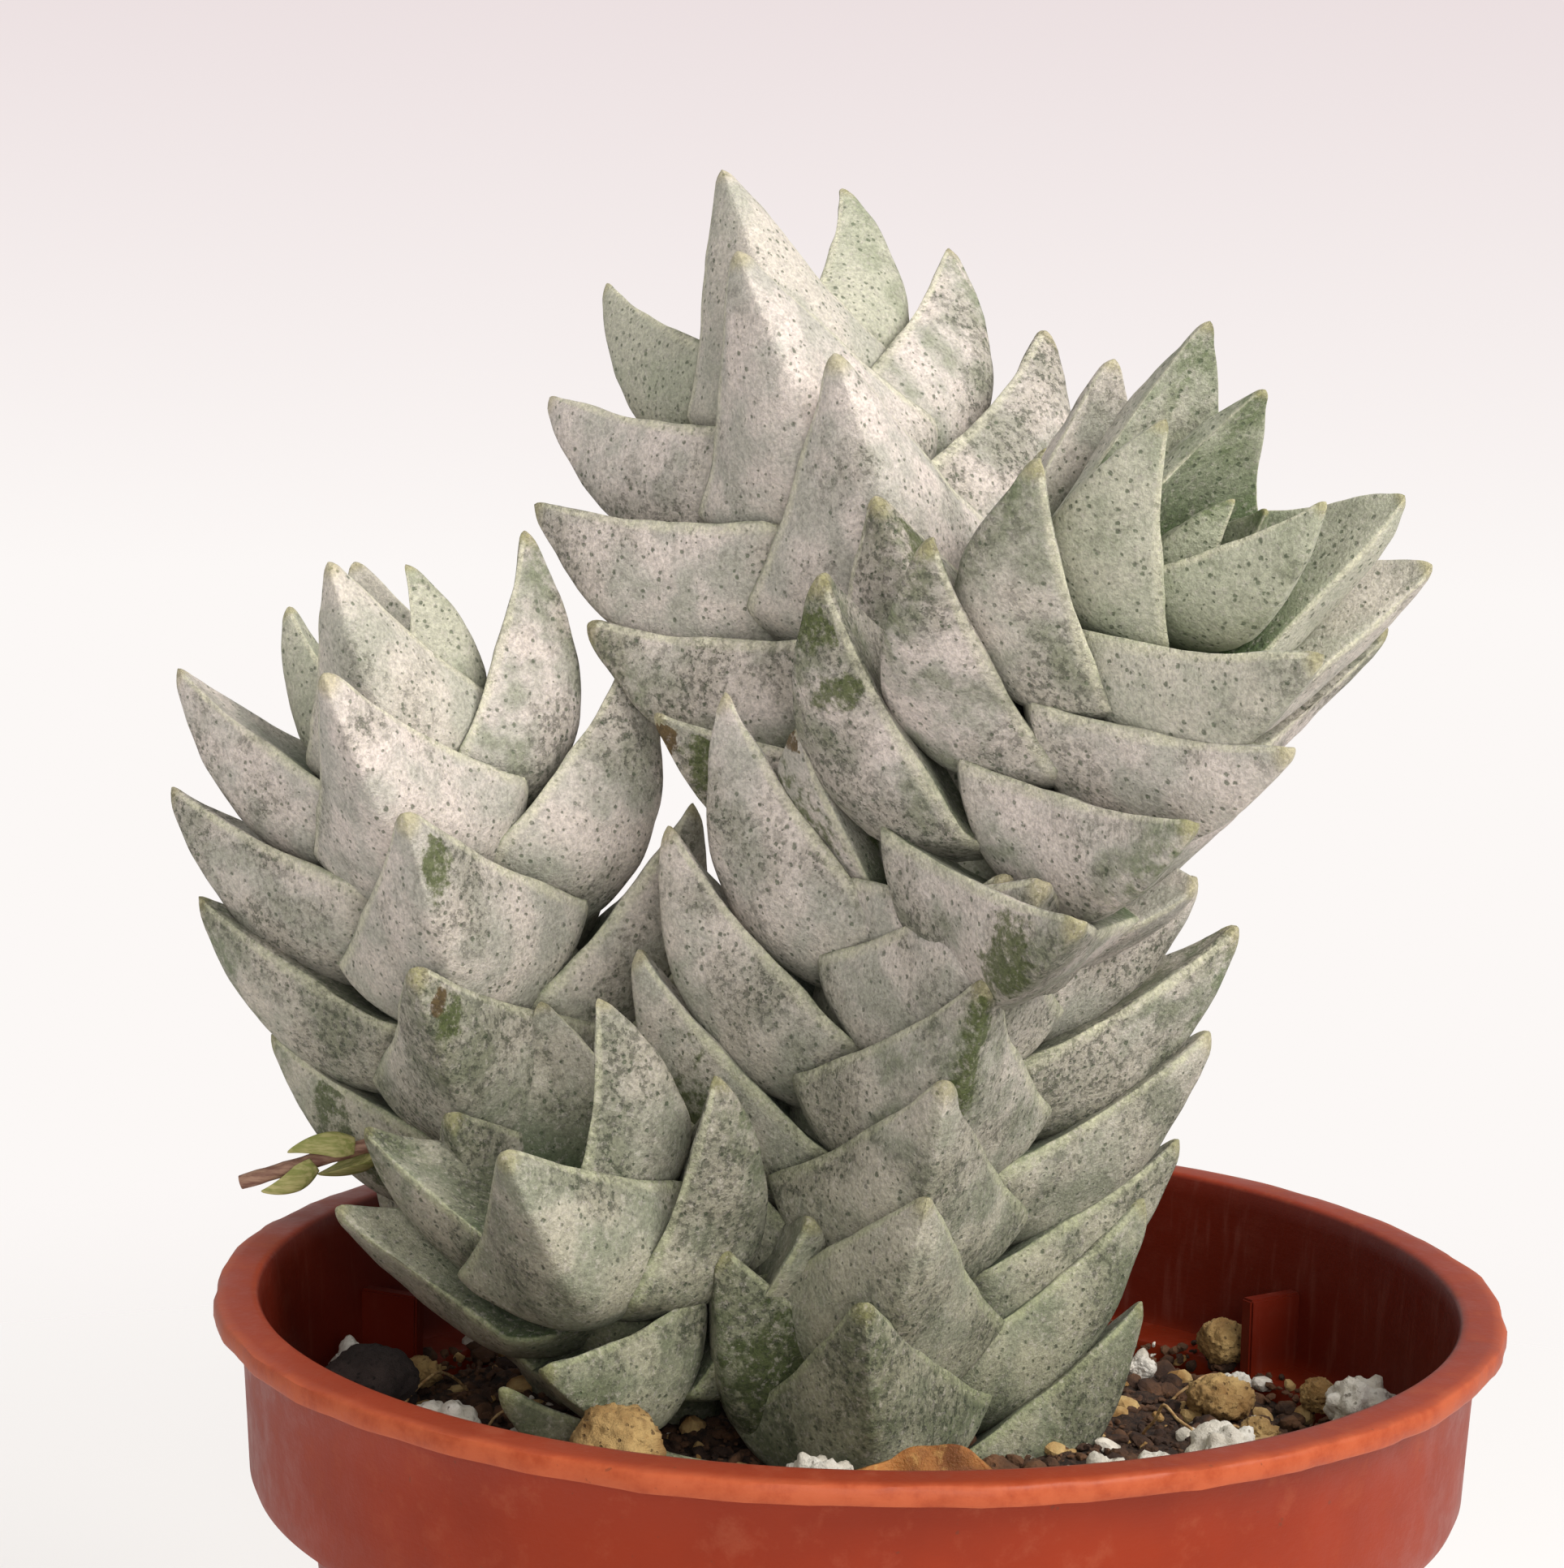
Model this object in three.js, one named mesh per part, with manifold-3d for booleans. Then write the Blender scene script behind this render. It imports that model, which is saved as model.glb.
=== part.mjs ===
// A potted crassula deceptor: four leafy stems in a small plastic nursery pot, with a stony top dressing.
// Millimetres, +Z up, the origin at the centre of the pot's underside. -Y faces the viewer.
import * as THREE from 'three';
import { mergeVertices } from 'three/addons/utils/BufferGeometryUtils.js';
import Module from 'manifold-3d';

const wasm = await Module();
wasm.setup();

// Driving dimensions
const GAP = 0.3; // clear distance between touching pieces
const POT = {
  height: 56,
  lipRadius: 32.5,
  lipThickness: 1.1,
  wall: 1.1,
  bandTopRadius: 31.1,
  bandFootRadius: 30.6,
  bandHeight: 9.0,
  shoulderRadius: 27.7,
  shoulderDrop: 1.6,
  baseRadius: 22.0,
  baseThickness: 1.4,
};
const LUGS = { count: 3, firstAngle: 35, thickness: 0.9, height: 4.2, depth: 3.0 };
const DRAIN_HOLES = { count: 6, ringRadius: 15.5, radius: 2.6, sides: 10 };
const RIM = POT.height;
const LEDGE = RIM - POT.bandHeight;
const SOIL = { centreLevel: RIM - 8.4, wallLevel: RIM - 9.8, radius: 26.0, relief: 0.2, rings: 7 };

// A repeatable value between -1 and 1 for any number, used wherever nature varies.
function vary(number) {
  const wave = Math.sin(number * 12.9898 + 4.1414) * 43758.5453;
  return 2 * (wave - Math.floor(wave)) - 1;
}

// The value of a table of [share, value] pairs at a share between 0 and 1, along straight lines.
function along(table, share) {
  let value = table[0][1];
  for (let i = 1; i < table.length; i += 1) {
    const [x0, y0] = table[i - 1];
    const [x1, y1] = table[i];
    const t = THREE.MathUtils.clamp((share - x0) / (x1 - x0), 0, 1);
    value = t > 0 ? y0 + (y1 - y0) * t : value;
  }
  return value;
}

function toSolid(geometry) {
  const bare = geometry.index ? geometry.clone() : geometry;
  bare.deleteAttribute('normal');
  bare.deleteAttribute('uv');
  const merged = mergeVertices(bare, 1e-5);
  return new wasm.Manifold(new wasm.Mesh({
    numProp: 3,
    vertProperties: new Float32Array(merged.attributes.position.array),
    triVerts: new Uint32Array(merged.index.array),
  }));
}

// The largest of a solid's bodies: loose scraps are dropped and sealed hollows are filled.
function largestBody(solid) {
  const bodies = solid.decompose();
  return bodies.reduce((best, body) => (body.volume() > best.volume() ? body : best));
}

function toGeometry(solid) {
  const mesh = solid.getMesh();
  const geometry = new THREE.BufferGeometry();
  geometry.setAttribute('position', new THREE.BufferAttribute(new Float32Array(mesh.vertProperties), 3));
  geometry.setIndex(new THREE.BufferAttribute(new Uint32Array(mesh.triVerts), 1));
  return geometry;
}

function unite(solids) {
  return wasm.Manifold.union(solids);
}

function cutBy(solid, cutters) {
  return cutters.reduce((left, cutter) => left.subtract(cutter), solid);
}

// Leaves

// A leaf is widest at its shoulders and runs nearly straight from there to a blunt point.
const LEAF_SHOULDER = 0.3; // share of the length where it is widest
const LEAF_BELLY = 0.4; // share of the length where it is thickest
const LEAF_BASE_WIDTH = 0.5; // width at the stem, as a share of the greatest
const LEAF_BASE_DEPTH = 0.62; // thickness at the stem, as a share of the greatest
const FLANK_BULGE = 0.2; // how far the flanks swell beyond straight lines to the point
const TIP_TAPER = 1.6; // a higher power keeps the leaf thick for longer

function leafWidthShare(u) {
  if (u < LEAF_SHOULDER) {
    return THREE.MathUtils.lerp(LEAF_BASE_WIDTH, 1, Math.sin((Math.PI / 2) * (u / LEAF_SHOULDER)));
  }
  const v = (u - LEAF_SHOULDER) / (1 - LEAF_SHOULDER);
  return (1 - v) * (1 + FLANK_BULGE * v * (1 - v));
}

function leafThicknessShare(u) {
  if (u < LEAF_BELLY) {
    return THREE.MathUtils.lerp(LEAF_BASE_DEPTH, 1, Math.sin((Math.PI / 2) * (u / LEAF_BELLY)));
  }
  const v = (u - LEAF_BELLY) / (1 - LEAF_BELLY);
  return 1 - v ** TIP_TAPER;
}

// One cross section, as [across, above] pairs: a shallow dished top and a keeled underside.
const KEEL_STEP = 0.6; // where the underside bends, as a share of the half width
const KEEL_FULLNESS = 0.66; // how deep it is there, as a share of the thickness
const DISH = 0.14; // depth of the dished top, as a share of the half width
const SECTION_POINTS = 6;

// A grown section moves out by more at its sharp edges, so that its faces stay clear by the growth.
function leafSection(halfWidth, thickness, grow) {
  const top = grow - DISH * halfWidth;
  const edge = halfWidth + 2.2 * grow;
  return [
    [edge, 1.1 * grow],
    [0, top],
    [-edge, 1.1 * grow],
    [-KEEL_STEP * halfWidth - grow, -KEEL_FULLNESS * thickness - grow],
    [0, -thickness - 1.4 * grow],
    [KEEL_STEP * halfWidth + grow, -KEEL_FULLNESS * thickness - grow],
  ];
}

const LEAF_STATIONS = [0.04, 0.3, 0.66]; // the cross sections, as shares of the length
const CURVE_STEPS = 40; // straight steps along the bent centre line
const BASE_POINT_DEPTH = 0.3; // how far under the top the closed base lies, as a share of the thickness

// The leaf in its own frame: x out from the stem, y across, z up along the stem.
// spread is its angle from the stem's axis, in degrees, at the base and at the tip.
function leafGeometry({ length, width, thickness, spread, sway = 0 }, grow = 0) {
  const steps = CURVE_STEPS;
  const path = [new THREE.Vector2(0, 0)];
  const angleAt = (u) => THREE.MathUtils.degToRad(THREE.MathUtils.lerp(spread[0], spread[1], u));
  for (let i = 0; i < steps; i += 1) {
    const a = angleAt((i + 0.5) / steps);
    const step = length / steps;
    path.push(new THREE.Vector2(path[i].x + Math.sin(a) * step, path[i].y + Math.cos(a) * step));
  }
  const centreAt = (u) => {
    const i = Math.min(Math.floor(u * steps), steps - 1);
    return path[i].clone().lerp(path[i + 1], u * steps - i);
  };
  const positions = [];
  const point = (u, across, above, ahead = 0) => {
    const a = angleAt(u);
    const c = centreAt(u);
    positions.push(
      c.x - Math.cos(a) * above + Math.sin(a) * ahead,
      across + sway * u * u,
      c.y + Math.sin(a) * above + Math.cos(a) * ahead,
    );
  };
  const sides = SECTION_POINTS;
  const stations = grow > 0 ? [...LEAF_STATIONS, 1] : LEAF_STATIONS;
  stations.forEach((u, i) => {
    const halfWidth = (width / 2) * leafWidthShare(u);
    const deep = thickness * leafThicknessShare(u);
    leafSection(halfWidth, deep, grow).forEach(([across, above]) => {
      point(u, across, above, i === 0 ? -grow : 0);
    });
  });
  const tip = positions.length / 3;
  point(1, 0, 0, 3 * grow);
  const base = tip + 1;
  point(0, 0, -thickness * BASE_POINT_DEPTH, -2 * grow);
  const index = [];
  for (let i = 0; i < stations.length - 1; i += 1) {
    for (let j = 0; j < sides; j += 1) {
      const a = i * sides + j;
      const b = i * sides + ((j + 1) % sides);
      index.push(a, b, b + sides, a, b + sides, a + sides);
    }
  }
  const last = (stations.length - 1) * sides;
  for (let j = 0; j < sides; j += 1) {
    const next = (j + 1) % sides;
    index.push(last + j, last + next, tip);
    index.push(next, j, base);
  }
  const geometry = new THREE.BufferGeometry();
  geometry.setAttribute('position', new THREE.Float32BufferAttribute(positions, 3));
  geometry.setIndex(index);
  return geometry;
}

// Stems

// Each stem is a curve with crossed pairs of leaves along it. Its axis points are [x, y, height over the lip].
// gap is the distance from pair to pair and turn is how far the pairs twist round the stem, in degrees.
// The tables give a value by the pair's share of the way from the first pair to the youngest.
// own holds the leaves that differ, by pair number and the side they point to.
const STEMS = {
  main_stem: {
    axis: [[0.3, 1.1, -11], [0, 1.9, -5], [1.1, 2.6, 2], [2.6, 2.6, 12], [4.4, 2.2, 19], [6, -0.8, 22.5],
      [10, -5.2, 30], [14.2, -10.2, 36.4]],
    pairs: 23,
    start: 0,
    foot: 2.8,
    core: [[0, 3], [0.12, 5.6], [0.7, 5.6], [1, 1.2]],
    gap: [[0, 2.6], [0.35, 2.9], [0.7, 2.6], [0.89, 1.3], [1, 0.9]],
    turn: [[0, 3], [0.25, 6], [0.53, 9], [0.75, 34], [1, 38]],
    length: [[0, 17.5], [0.42, 18], [0.7, 16.6], [0.86, 15.5], [0.95, 12], [1, 6]],
    width: [[0, 12.6], [0.63, 13.2], [0.84, 12], [0.95, 8.5], [1, 4]],
    thickness: [[0, 5.2], [0.63, 5.8], [0.89, 5], [1, 2]],
    spreadBase: [[0, 69], [0.35, 65], [0.7, 70], [0.89, 48], [1, 14]],
    spreadTip: [[0, 52], [0.35, 47], [0.7, 50], [0.89, 28], [1, 3]],
    own: {
      left0: { length: 22, width: 10.5, lean: 12, twist: 30 },
      left2: { length: 13.5, twist: 48 },
      right10: { length: 14, lean: 4 },
      right12: { length: 11.5, lean: 6 },
      left12: { length: 13, width: 11, lean: 6 },
      right14: { length: 12.5, lean: 4 },
    },
  },
  low_shoot: {
    axis: [[-9, 6, -11], [-9.3, 3.5, -7], [-10.2, 0.5, -3.2], [-12.4, -1.4, -0.1], [-14.2, -2.3, 3.6]],
    pairs: 5,
    start: 9.2,
    foot: 2.0,
    core: [[0, 2.1], [0.45, 2.2], [0.65, 4], [1, 1.2]],
    gap: [[0, 2.4], [1, 1.8]],
    turn: [[0, -22], [1, -14]],
    length: [[0, 13.5], [0.5, 14.5], [1, 11.5]],
    width: [[0, 10.5], [0.75, 11], [1, 9.6]],
    thickness: [[0, 4.6], [0.75, 5], [1, 4.4]],
    spreadBase: [[0, 62], [1, 53]],
    spreadTip: [[0, 46], [1, 36]],
    own: {
      front1: { length: 12.5 },
      front3: { width: 12, lean: -7, twist: 12 },
      back3: { lean: -12 },
      right4: { length: 12.5, lean: -14 },
    },
  },
  left_stem: {
    axis: [[-14, 10, -11], [-16.5, 10.8, -0.5], [-18.9, 11, 8], [-20.6, 10.8, 14.2], [-22, 11.3, 18.5],
      [-23.7, 11.4, 22.8]],
    pairs: 12,
    start: 10.2,
    foot: 2.6,
    core: [[0, 2.7], [0.3, 5.2], [0.7, 5.2], [1, 1.2]],
    gap: [[0, 3.1], [0.53, 3.0], [0.75, 1.6], [1, 1.0]],
    turn: [[0, -8], [1, 4]],
    length: [[0, 13.5], [0.6, 17.8], [0.82, 14.5], [1, 7]],
    width: [[0, 11.5], [0.45, 13], [0.82, 10.5], [1, 5]],
    thickness: [[0, 5], [0.45, 5.8], [0.82, 4.6], [1, 2.2]],
    spreadBase: [[0, 71], [0.59, 59], [0.82, 38], [1, 14]],
    spreadTip: [[0, 53], [0.59, 43], [0.82, 22], [1, 4]],
    own: {
      left0: { length: 10.5, width: 8.5, lean: -3 },
      left4: { length: 17.5 },
    },
  },
  top_branch: {
    axis: [[6.5, 7.5, 17.5], [4, 8.6, 24], [1.2, 11, 29.8], [-1.2, 13.8, 35.2], [-2.9, 16, 38.8], [-4.3, 18, 42]],
    pairs: 12,
    start: 0,
    foot: 2.6,
    core: [[0, 3], [0.15, 5.6], [0.65, 5.4], [1, 1.4]],
    gap: [[0, 3.3], [0.55, 2.9], [0.87, 2.0], [1, 1.4]],
    turn: [[0, 20], [0.55, 10], [1, 3]],
    length: [[0, 15], [0.55, 18.5], [0.9, 16], [1, 10]],
    width: [[0, 11.5], [0.55, 13.6], [0.9, 11], [1, 6]],
    thickness: [[0, 5], [0.55, 5.8], [0.9, 4.6], [1, 2.6]],
    spreadBase: [[0, 68], [0.55, 64], [0.9, 38], [1, 16]],
    spreadTip: [[0, 49], [0.55, 47], [0.9, 24], [1, 6]],
    own: {},
  },
};

function stemCurve(stem) {
  const points = stem.axis.map(([x, y, z]) => new THREE.Vector3(x, y, RIM + z));
  const curve = new THREE.CatmullRomCurve3(points, false, 'catmullrom', 0.5);
  curve.arcLengthDivisions = 400;
  return curve;
}

// The frame at a distance along a stem: where it is, its axis, and the side that faces the viewer.
function stemFrame(curve, distance) {
  const total = curve.getLength();
  const share = THREE.MathUtils.clamp(distance / total, 0, 1);
  const up = curve.getTangentAt(share);
  const place = curve.getPointAt(share).addScaledVector(up, distance - share * total);
  const front = new THREE.Vector3(0, -1, 0);
  front.addScaledVector(up, -front.dot(up)).normalize();
  const right = new THREE.Vector3().crossVectors(up, front);
  return { place, up, front, right };
}

const SIDES = { front: 0, right: 90, back: 180, left: 270 };

// How far leaves stray from the tables: degrees, shares of a measure, and millimetres of sway at the tip.
const VARIETY = { lean: 2.5, length: 0.03, width: 0.04, sway: 0.4, twist: 3 };

// Every leaf of a stem: its measures and its place.
function stemLeaves(stem, curve) {
  const leaves = [];
  let distance = stem.start;
  for (let pair = 0; pair < stem.pairs; pair += 1) {
    const share = pair / (stem.pairs - 1);
    const sides = pair % 2 === 0 ? ['right', 'left'] : ['front', 'back'];
    sides.forEach((side, i) => {
      const seed = pair * 2 + i + stem.pairs * 7;
      const own = stem.own[`${side}${pair}`] ?? {};
      const lean = (own.lean ?? 0) + VARIETY.lean * vary(seed);
      leaves.push({
        length: own.length ?? along(stem.length, share) * (1 + VARIETY.length * vary(seed + 0.2)),
        width: own.width ?? along(stem.width, share) * (1 + VARIETY.width * vary(seed + 0.4)),
        thickness: along(stem.thickness, share),
        spread: [along(stem.spreadBase, share) + lean, along(stem.spreadTip, share) + lean],
        sway: VARIETY.sway * vary(seed + 0.6),
        azimuth: SIDES[side] + along(stem.turn, share) + (own.twist ?? 0) + VARIETY.twist * vary(seed + 0.8),
        frame: stemFrame(curve, distance),
      });
    });
    distance += along(stem.gap, share);
  }
  return leaves;
}

function placedLeaf(leaf, grow) {
  const { place, up, front, right } = leaf.frame;
  const a = THREE.MathUtils.degToRad(leaf.azimuth);
  const out = front.clone().multiplyScalar(Math.cos(a)).addScaledVector(right, Math.sin(a));
  const across = new THREE.Vector3().crossVectors(up, out);
  const matrix = new THREE.Matrix4().makeBasis(out, across, up).setPosition(place);
  return toSolid(leafGeometry(leaf, grow).applyMatrix4(matrix));
}

// A round rod along a curve, closed at both ends. radii is a table by the share of its length,
// and grow makes it thicker all over and longer at both ends.
function rodSolid(curve, radii, sides, steps, grow = 0) {
  const positions = [];
  const index = [];
  const centres = [];
  for (let i = 0; i <= steps; i += 1) {
    const distance = -grow + ((curve.getLength() + 2 * grow) * i) / steps;
    const { place, front, right } = stemFrame(curve, distance);
    const radius = along(radii, i / steps) + grow;
    for (let j = 0; j < sides; j += 1) {
      const a = (j / sides) * Math.PI * 2;
      const offset = front.clone().multiplyScalar(Math.cos(a) * radius).addScaledVector(right, Math.sin(a) * radius);
      positions.push(...place.clone().add(offset));
    }
    centres.push(place);
  }
  const low = positions.length / 3;
  positions.push(...centres[0], ...centres[steps]);
  for (let j = 0; j < sides; j += 1) {
    const next = (j + 1) % sides;
    for (let i = 0; i < steps; i += 1) {
      const a = i * sides + j;
      const b = i * sides + next;
      index.push(a, b, b + sides, a, b + sides, a + sides);
    }
    index.push(next, j, low);
    index.push(steps * sides + j, steps * sides + next, low + 1);
  }
  const geometry = new THREE.BufferGeometry();
  geometry.setAttribute('position', new THREE.Float32BufferAttribute(positions, 3));
  geometry.setIndex(index);
  return toSolid(geometry);
}

// The bare woody foot that a rooted stem stands on, from its first leaves down into the potting mix.
const FOOT_LENGTH = 9; // below the start of the stem's axis
const FOOT_OVERLAP = 6; // above it, inside the leaf bases
const ROD_SIDES = 8;
const CORE_STEPS = 9;

function footSolid(stem, curve, grow) {
  const top = stemFrame(curve, FOOT_OVERLAP).place;
  const foot = stemFrame(curve, 0).place;
  foot.z -= FOOT_LENGTH;
  const path = new THREE.LineCurve3(foot, top);
  return rodSolid(path, [[0, stem.foot], [1, stem.foot]], ROD_SIDES, 1, grow);
}

// The thick middle of a stem, where its leaf bases meet.
function stemCore(stem, curve, grow) {
  return rodSolid(curve, stem.core, ROD_SIDES, CORE_STEPS, grow);
}

const rootedStems = ['main_stem', 'low_shoot', 'left_stem'];

function stemSolids(name, grow) {
  const stem = STEMS[name];
  const curve = stemCurve(stem);
  const leaves = stemLeaves(stem, curve).map((leaf) => placedLeaf(leaf, grow));
  const foot = rootedStems.includes(name) ? [footSolid(stem, curve, grow)] : [];
  return unite([...foot, stemCore(stem, curve, grow), ...leaves]);
}

// The pot

function potProfile() {
  const { wall, lipThickness, baseThickness } = POT;
  const taper = (POT.shoulderRadius - POT.baseRadius) / (LEDGE - POT.shoulderDrop);
  const floorRadius = POT.baseRadius - wall + taper * baseThickness;
  return [
    [0, 0],
    [POT.baseRadius - 0.6, 0],
    [POT.baseRadius, 0.6],
    [POT.shoulderRadius, LEDGE - POT.shoulderDrop],
    [POT.bandFootRadius - 0.9, LEDGE - 0.8],
    [POT.bandFootRadius, LEDGE + 0.3],
    [POT.bandTopRadius, RIM - lipThickness],
    [POT.lipRadius - 0.2, RIM - lipThickness],
    [POT.lipRadius, RIM - 0.6],
    [POT.lipRadius - 0.4, RIM],
    [POT.bandTopRadius - wall + 0.7, RIM],
    [POT.bandTopRadius - wall, RIM - 0.8],
    [POT.bandFootRadius - wall, LEDGE],
    [POT.shoulderRadius - wall, LEDGE],
    [floorRadius, baseThickness + 0.6],
    [floorRadius - 0.6, baseThickness],
    [0, baseThickness],
  ];
}

const POT_SEGMENTS = 32;

function latheSolid(profile) {
  const points = profile.map(([r, z]) => new THREE.Vector2(r, z));
  return toSolid(new THREE.LatheGeometry(points, POT_SEGMENTS).rotateX(Math.PI / 2));
}

function potSolid() {
  const body = latheSolid(potProfile());
  const wallRadius = POT.bandFootRadius - POT.wall;
  const lugs = [];
  for (let i = 0; i < LUGS.count; i += 1) {
    const lug = new THREE.BoxGeometry(LUGS.depth + 0.4, LUGS.thickness, LUGS.height + 0.4);
    lug.translate(wallRadius - LUGS.depth / 2 + 0.2, 0, LEDGE + LUGS.height / 2 - 0.2);
    lug.rotateZ(THREE.MathUtils.degToRad(LUGS.firstAngle + (i * 360) / LUGS.count));
    lugs.push(toSolid(lug));
  }
  const holes = [];
  for (let i = 0; i < DRAIN_HOLES.count; i += 1) {
    const { radius, sides } = DRAIN_HOLES;
    const hole = new THREE.CylinderGeometry(radius, radius, 8, sides).rotateX(Math.PI / 2);
    const a = (i / DRAIN_HOLES.count) * Math.PI * 2;
    hole.translate(Math.cos(a) * DRAIN_HOLES.ringRadius, Math.sin(a) * DRAIN_HOLES.ringRadius, 0);
    holes.push(toSolid(hole));
  }
  return cutBy(unite([body, ...lugs]), holes);
}

// The potting mix

function soilHeight(x, y) {
  const r = Math.min(Math.hypot(x, y) / SOIL.radius, 1);
  const crumbs = Math.sin(x * 0.9 + 1.3) * Math.sin(y * 1.1 + 0.4) + 0.6 * Math.sin(x * 2.1 - y * 1.7);
  return THREE.MathUtils.lerp(SOIL.centreLevel, SOIL.wallLevel, r * r) + SOIL.relief * crumbs;
}

// A round plug with a level underside and the uneven surface above.
function soilGeometry(grow) {
  const rings = SOIL.rings;
  const sectors = POT_SEGMENTS;
  const floor = POT.baseThickness + GAP;
  const floorRadius = POT.baseRadius - POT.wall - 0.7 + grow;
  const positions = [0, 0, soilHeight(0, 0) + grow];
  const index = [];
  for (let i = 1; i <= rings; i += 1) {
    const r = ((SOIL.radius + grow) * i) / rings;
    for (let j = 0; j < sectors; j += 1) {
      const a = (j / sectors) * Math.PI * 2;
      const x = Math.cos(a) * r;
      const y = Math.sin(a) * r;
      positions.push(x, y, soilHeight(x, y) + grow);
    }
  }
  for (let j = 0; j < sectors; j += 1) {
    const a = (j / sectors) * Math.PI * 2;
    positions.push(Math.cos(a) * floorRadius, Math.sin(a) * floorRadius, floor);
  }
  const under = positions.length / 3;
  positions.push(0, 0, floor);
  const at = (ring, j) => 1 + (ring - 1) * sectors + (j % sectors);
  for (let j = 0; j < sectors; j += 1) {
    index.push(0, at(1, j), at(1, j + 1));
    for (let i = 1; i <= rings; i += 1) {
      index.push(at(i, j), at(i + 1, j), at(i + 1, j + 1), at(i, j), at(i + 1, j + 1), at(i, j + 1));
    }
    index.push(under, at(rings + 1, j + 1), at(rings + 1, j));
  }
  const geometry = new THREE.BufferGeometry();
  geometry.setAttribute('position', new THREE.Float32BufferAttribute(positions, 3));
  geometry.setIndex(index);
  return geometry;
}

// Top dressing

// Each stone is [x, y, width, depth, height, turn in degrees], and lies a little bedded in the mix.
const STONES = {
  lava: [
    [-25.2, 3.4, 5.2, 4.4, 4.8, 20], [-5.6, -11.6, 2.8, 2.4, 2.8, 0], [-2, -20, 3.4, 2.8, 2.6, 40],
    [12.5, 21.5, 3.6, 3, 2.8, 70], [-21, -13.5, 3, 3.4, 2.6, 15],
  ],
  perlite: [
    [-26.8, 6.9, 2.3, 2, 3, 0], [-20.6, -3.8, 3.7, 3, 3.4, 10], [-9.6, -13.6, 1.8, 1.6, 2.8, 0],
    [-1.7, -11.4, 3.9, 2.8, 3.3, 8], [12.2, -8.8, 2.4, 2.2, 3.2, 0], [14.8, -7.9, 2.8, 2.4, 3.3, 30],
    [18.6, -3.7, 3.8, 3, 3.5, 15], [21.7, -1.6, 2.1, 1.9, 2.1, 50], [20.6, 11.4, 2, 1.8, 1.8, 0],
    [26.4, 4.6, 3.4, 3.2, 3.2, 25], [15.6, 14.2, 1.8, 1.6, 1.8, 0], [-13, -17.5, 3.4, 3, 2.6, 60],
    [9, -17, 3.2, 3, 2.4, 35], [21.5, -11, 3, 3.2, 2.6, 75], [-9, 22.5, 3.6, 3, 2.6, 20],
    [1.5, 23, 2.8, 2.6, 2.2, 5],
  ],
  pumice: [
    [-23.4, 9.4, 2.6, 2.4, 2.8, 30], [-22, 0, 2.4, 2.1, 2.5, 70], [-11.4, -11.4, 5, 3.8, 6.5, 12],
    [-14.6, -9.8, 2.5, 2.2, 3.8, 40], [9.9, -10.4, 2.9, 2.4, 2.8, 0], [16.9, -6.4, 1.8, 1.7, 2.4, 20],
    [19.6, 7.6, 3.8, 3.2, 2.8, 15], [24.6, 8.6, 2.2, 2.1, 2.4, 60], [21, 3.2, 2.4, 2.2, 1.9, 35],
    [-18, -8.4, 3, 2.6, 2.2, 25], [4.5, -20.5, 3.6, 3, 2.6, 50], [16, -15.5, 2.8, 3.2, 2.2, 10],
    [20.5, 17, 3.2, 2.8, 2.6, 45], [-7.5, -21.5, 2.6, 2.4, 2, 0],
  ],
  bark: [
    [7, -10.8, 2.7, 2, 3.4, 15], [24, -6.5, 3.8, 2, 1.6, 65], [-19, 19, 4, 2.2, 1.6, 35],
  ],
};
const STONE_LUMPS = { lava: 0.16, perlite: 0.1, pumice: 0.13, bark: 0.12 };
const BEDDED = 0.15; // share of a stone's height that lies in the mix
const SMALL_STONE = 3.1; // stones narrower than this have fewer faces

// The ground rises from the mix onto the pot's inner ledge.
function groundHeight(x, y) {
  const rise = THREE.MathUtils.smoothstep(Math.hypot(x, y), SOIL.radius - 1, SOIL.radius + 1);
  return THREE.MathUtils.lerp(soilHeight(x, y), LEDGE + GAP, rise);
}

function stoneGeometry(kind, number, [x, y, width, depth, height, turn], grow) {
  const stone = mergeVertices(bareIcosahedron(width < SMALL_STONE ? 0 : 1), 1e-5);
  const at = stone.attributes.position;
  for (let i = 0; i < at.count; i += 1) {
    const lump = 1 + STONE_LUMPS[kind] * vary(i + 17 * number + kind.length);
    at.setXYZ(i, at.getX(i) * lump, at.getY(i) * lump, at.getZ(i) * lump);
  }
  stone.scale(width / 2 + grow, depth / 2 + grow, height / 2 + grow);
  stone.rotateZ(THREE.MathUtils.degToRad(turn));
  return stone.translate(x, y, groundHeight(x, y) + height * (0.5 - BEDDED));
}

function bareIcosahedron(detail) {
  const geometry = new THREE.IcosahedronGeometry(1, detail);
  geometry.deleteAttribute('normal');
  geometry.deleteAttribute('uv');
  return geometry;
}

// The dead leaf: a thin curled blade lying on the mix in front of the main stem.
const DRY_LEAF = { place: [3.3, -12.6], length: 6.8, width: 4, thickness: 0.8, lift: 1.8, turn: 8, tilt: 30 };

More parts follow.
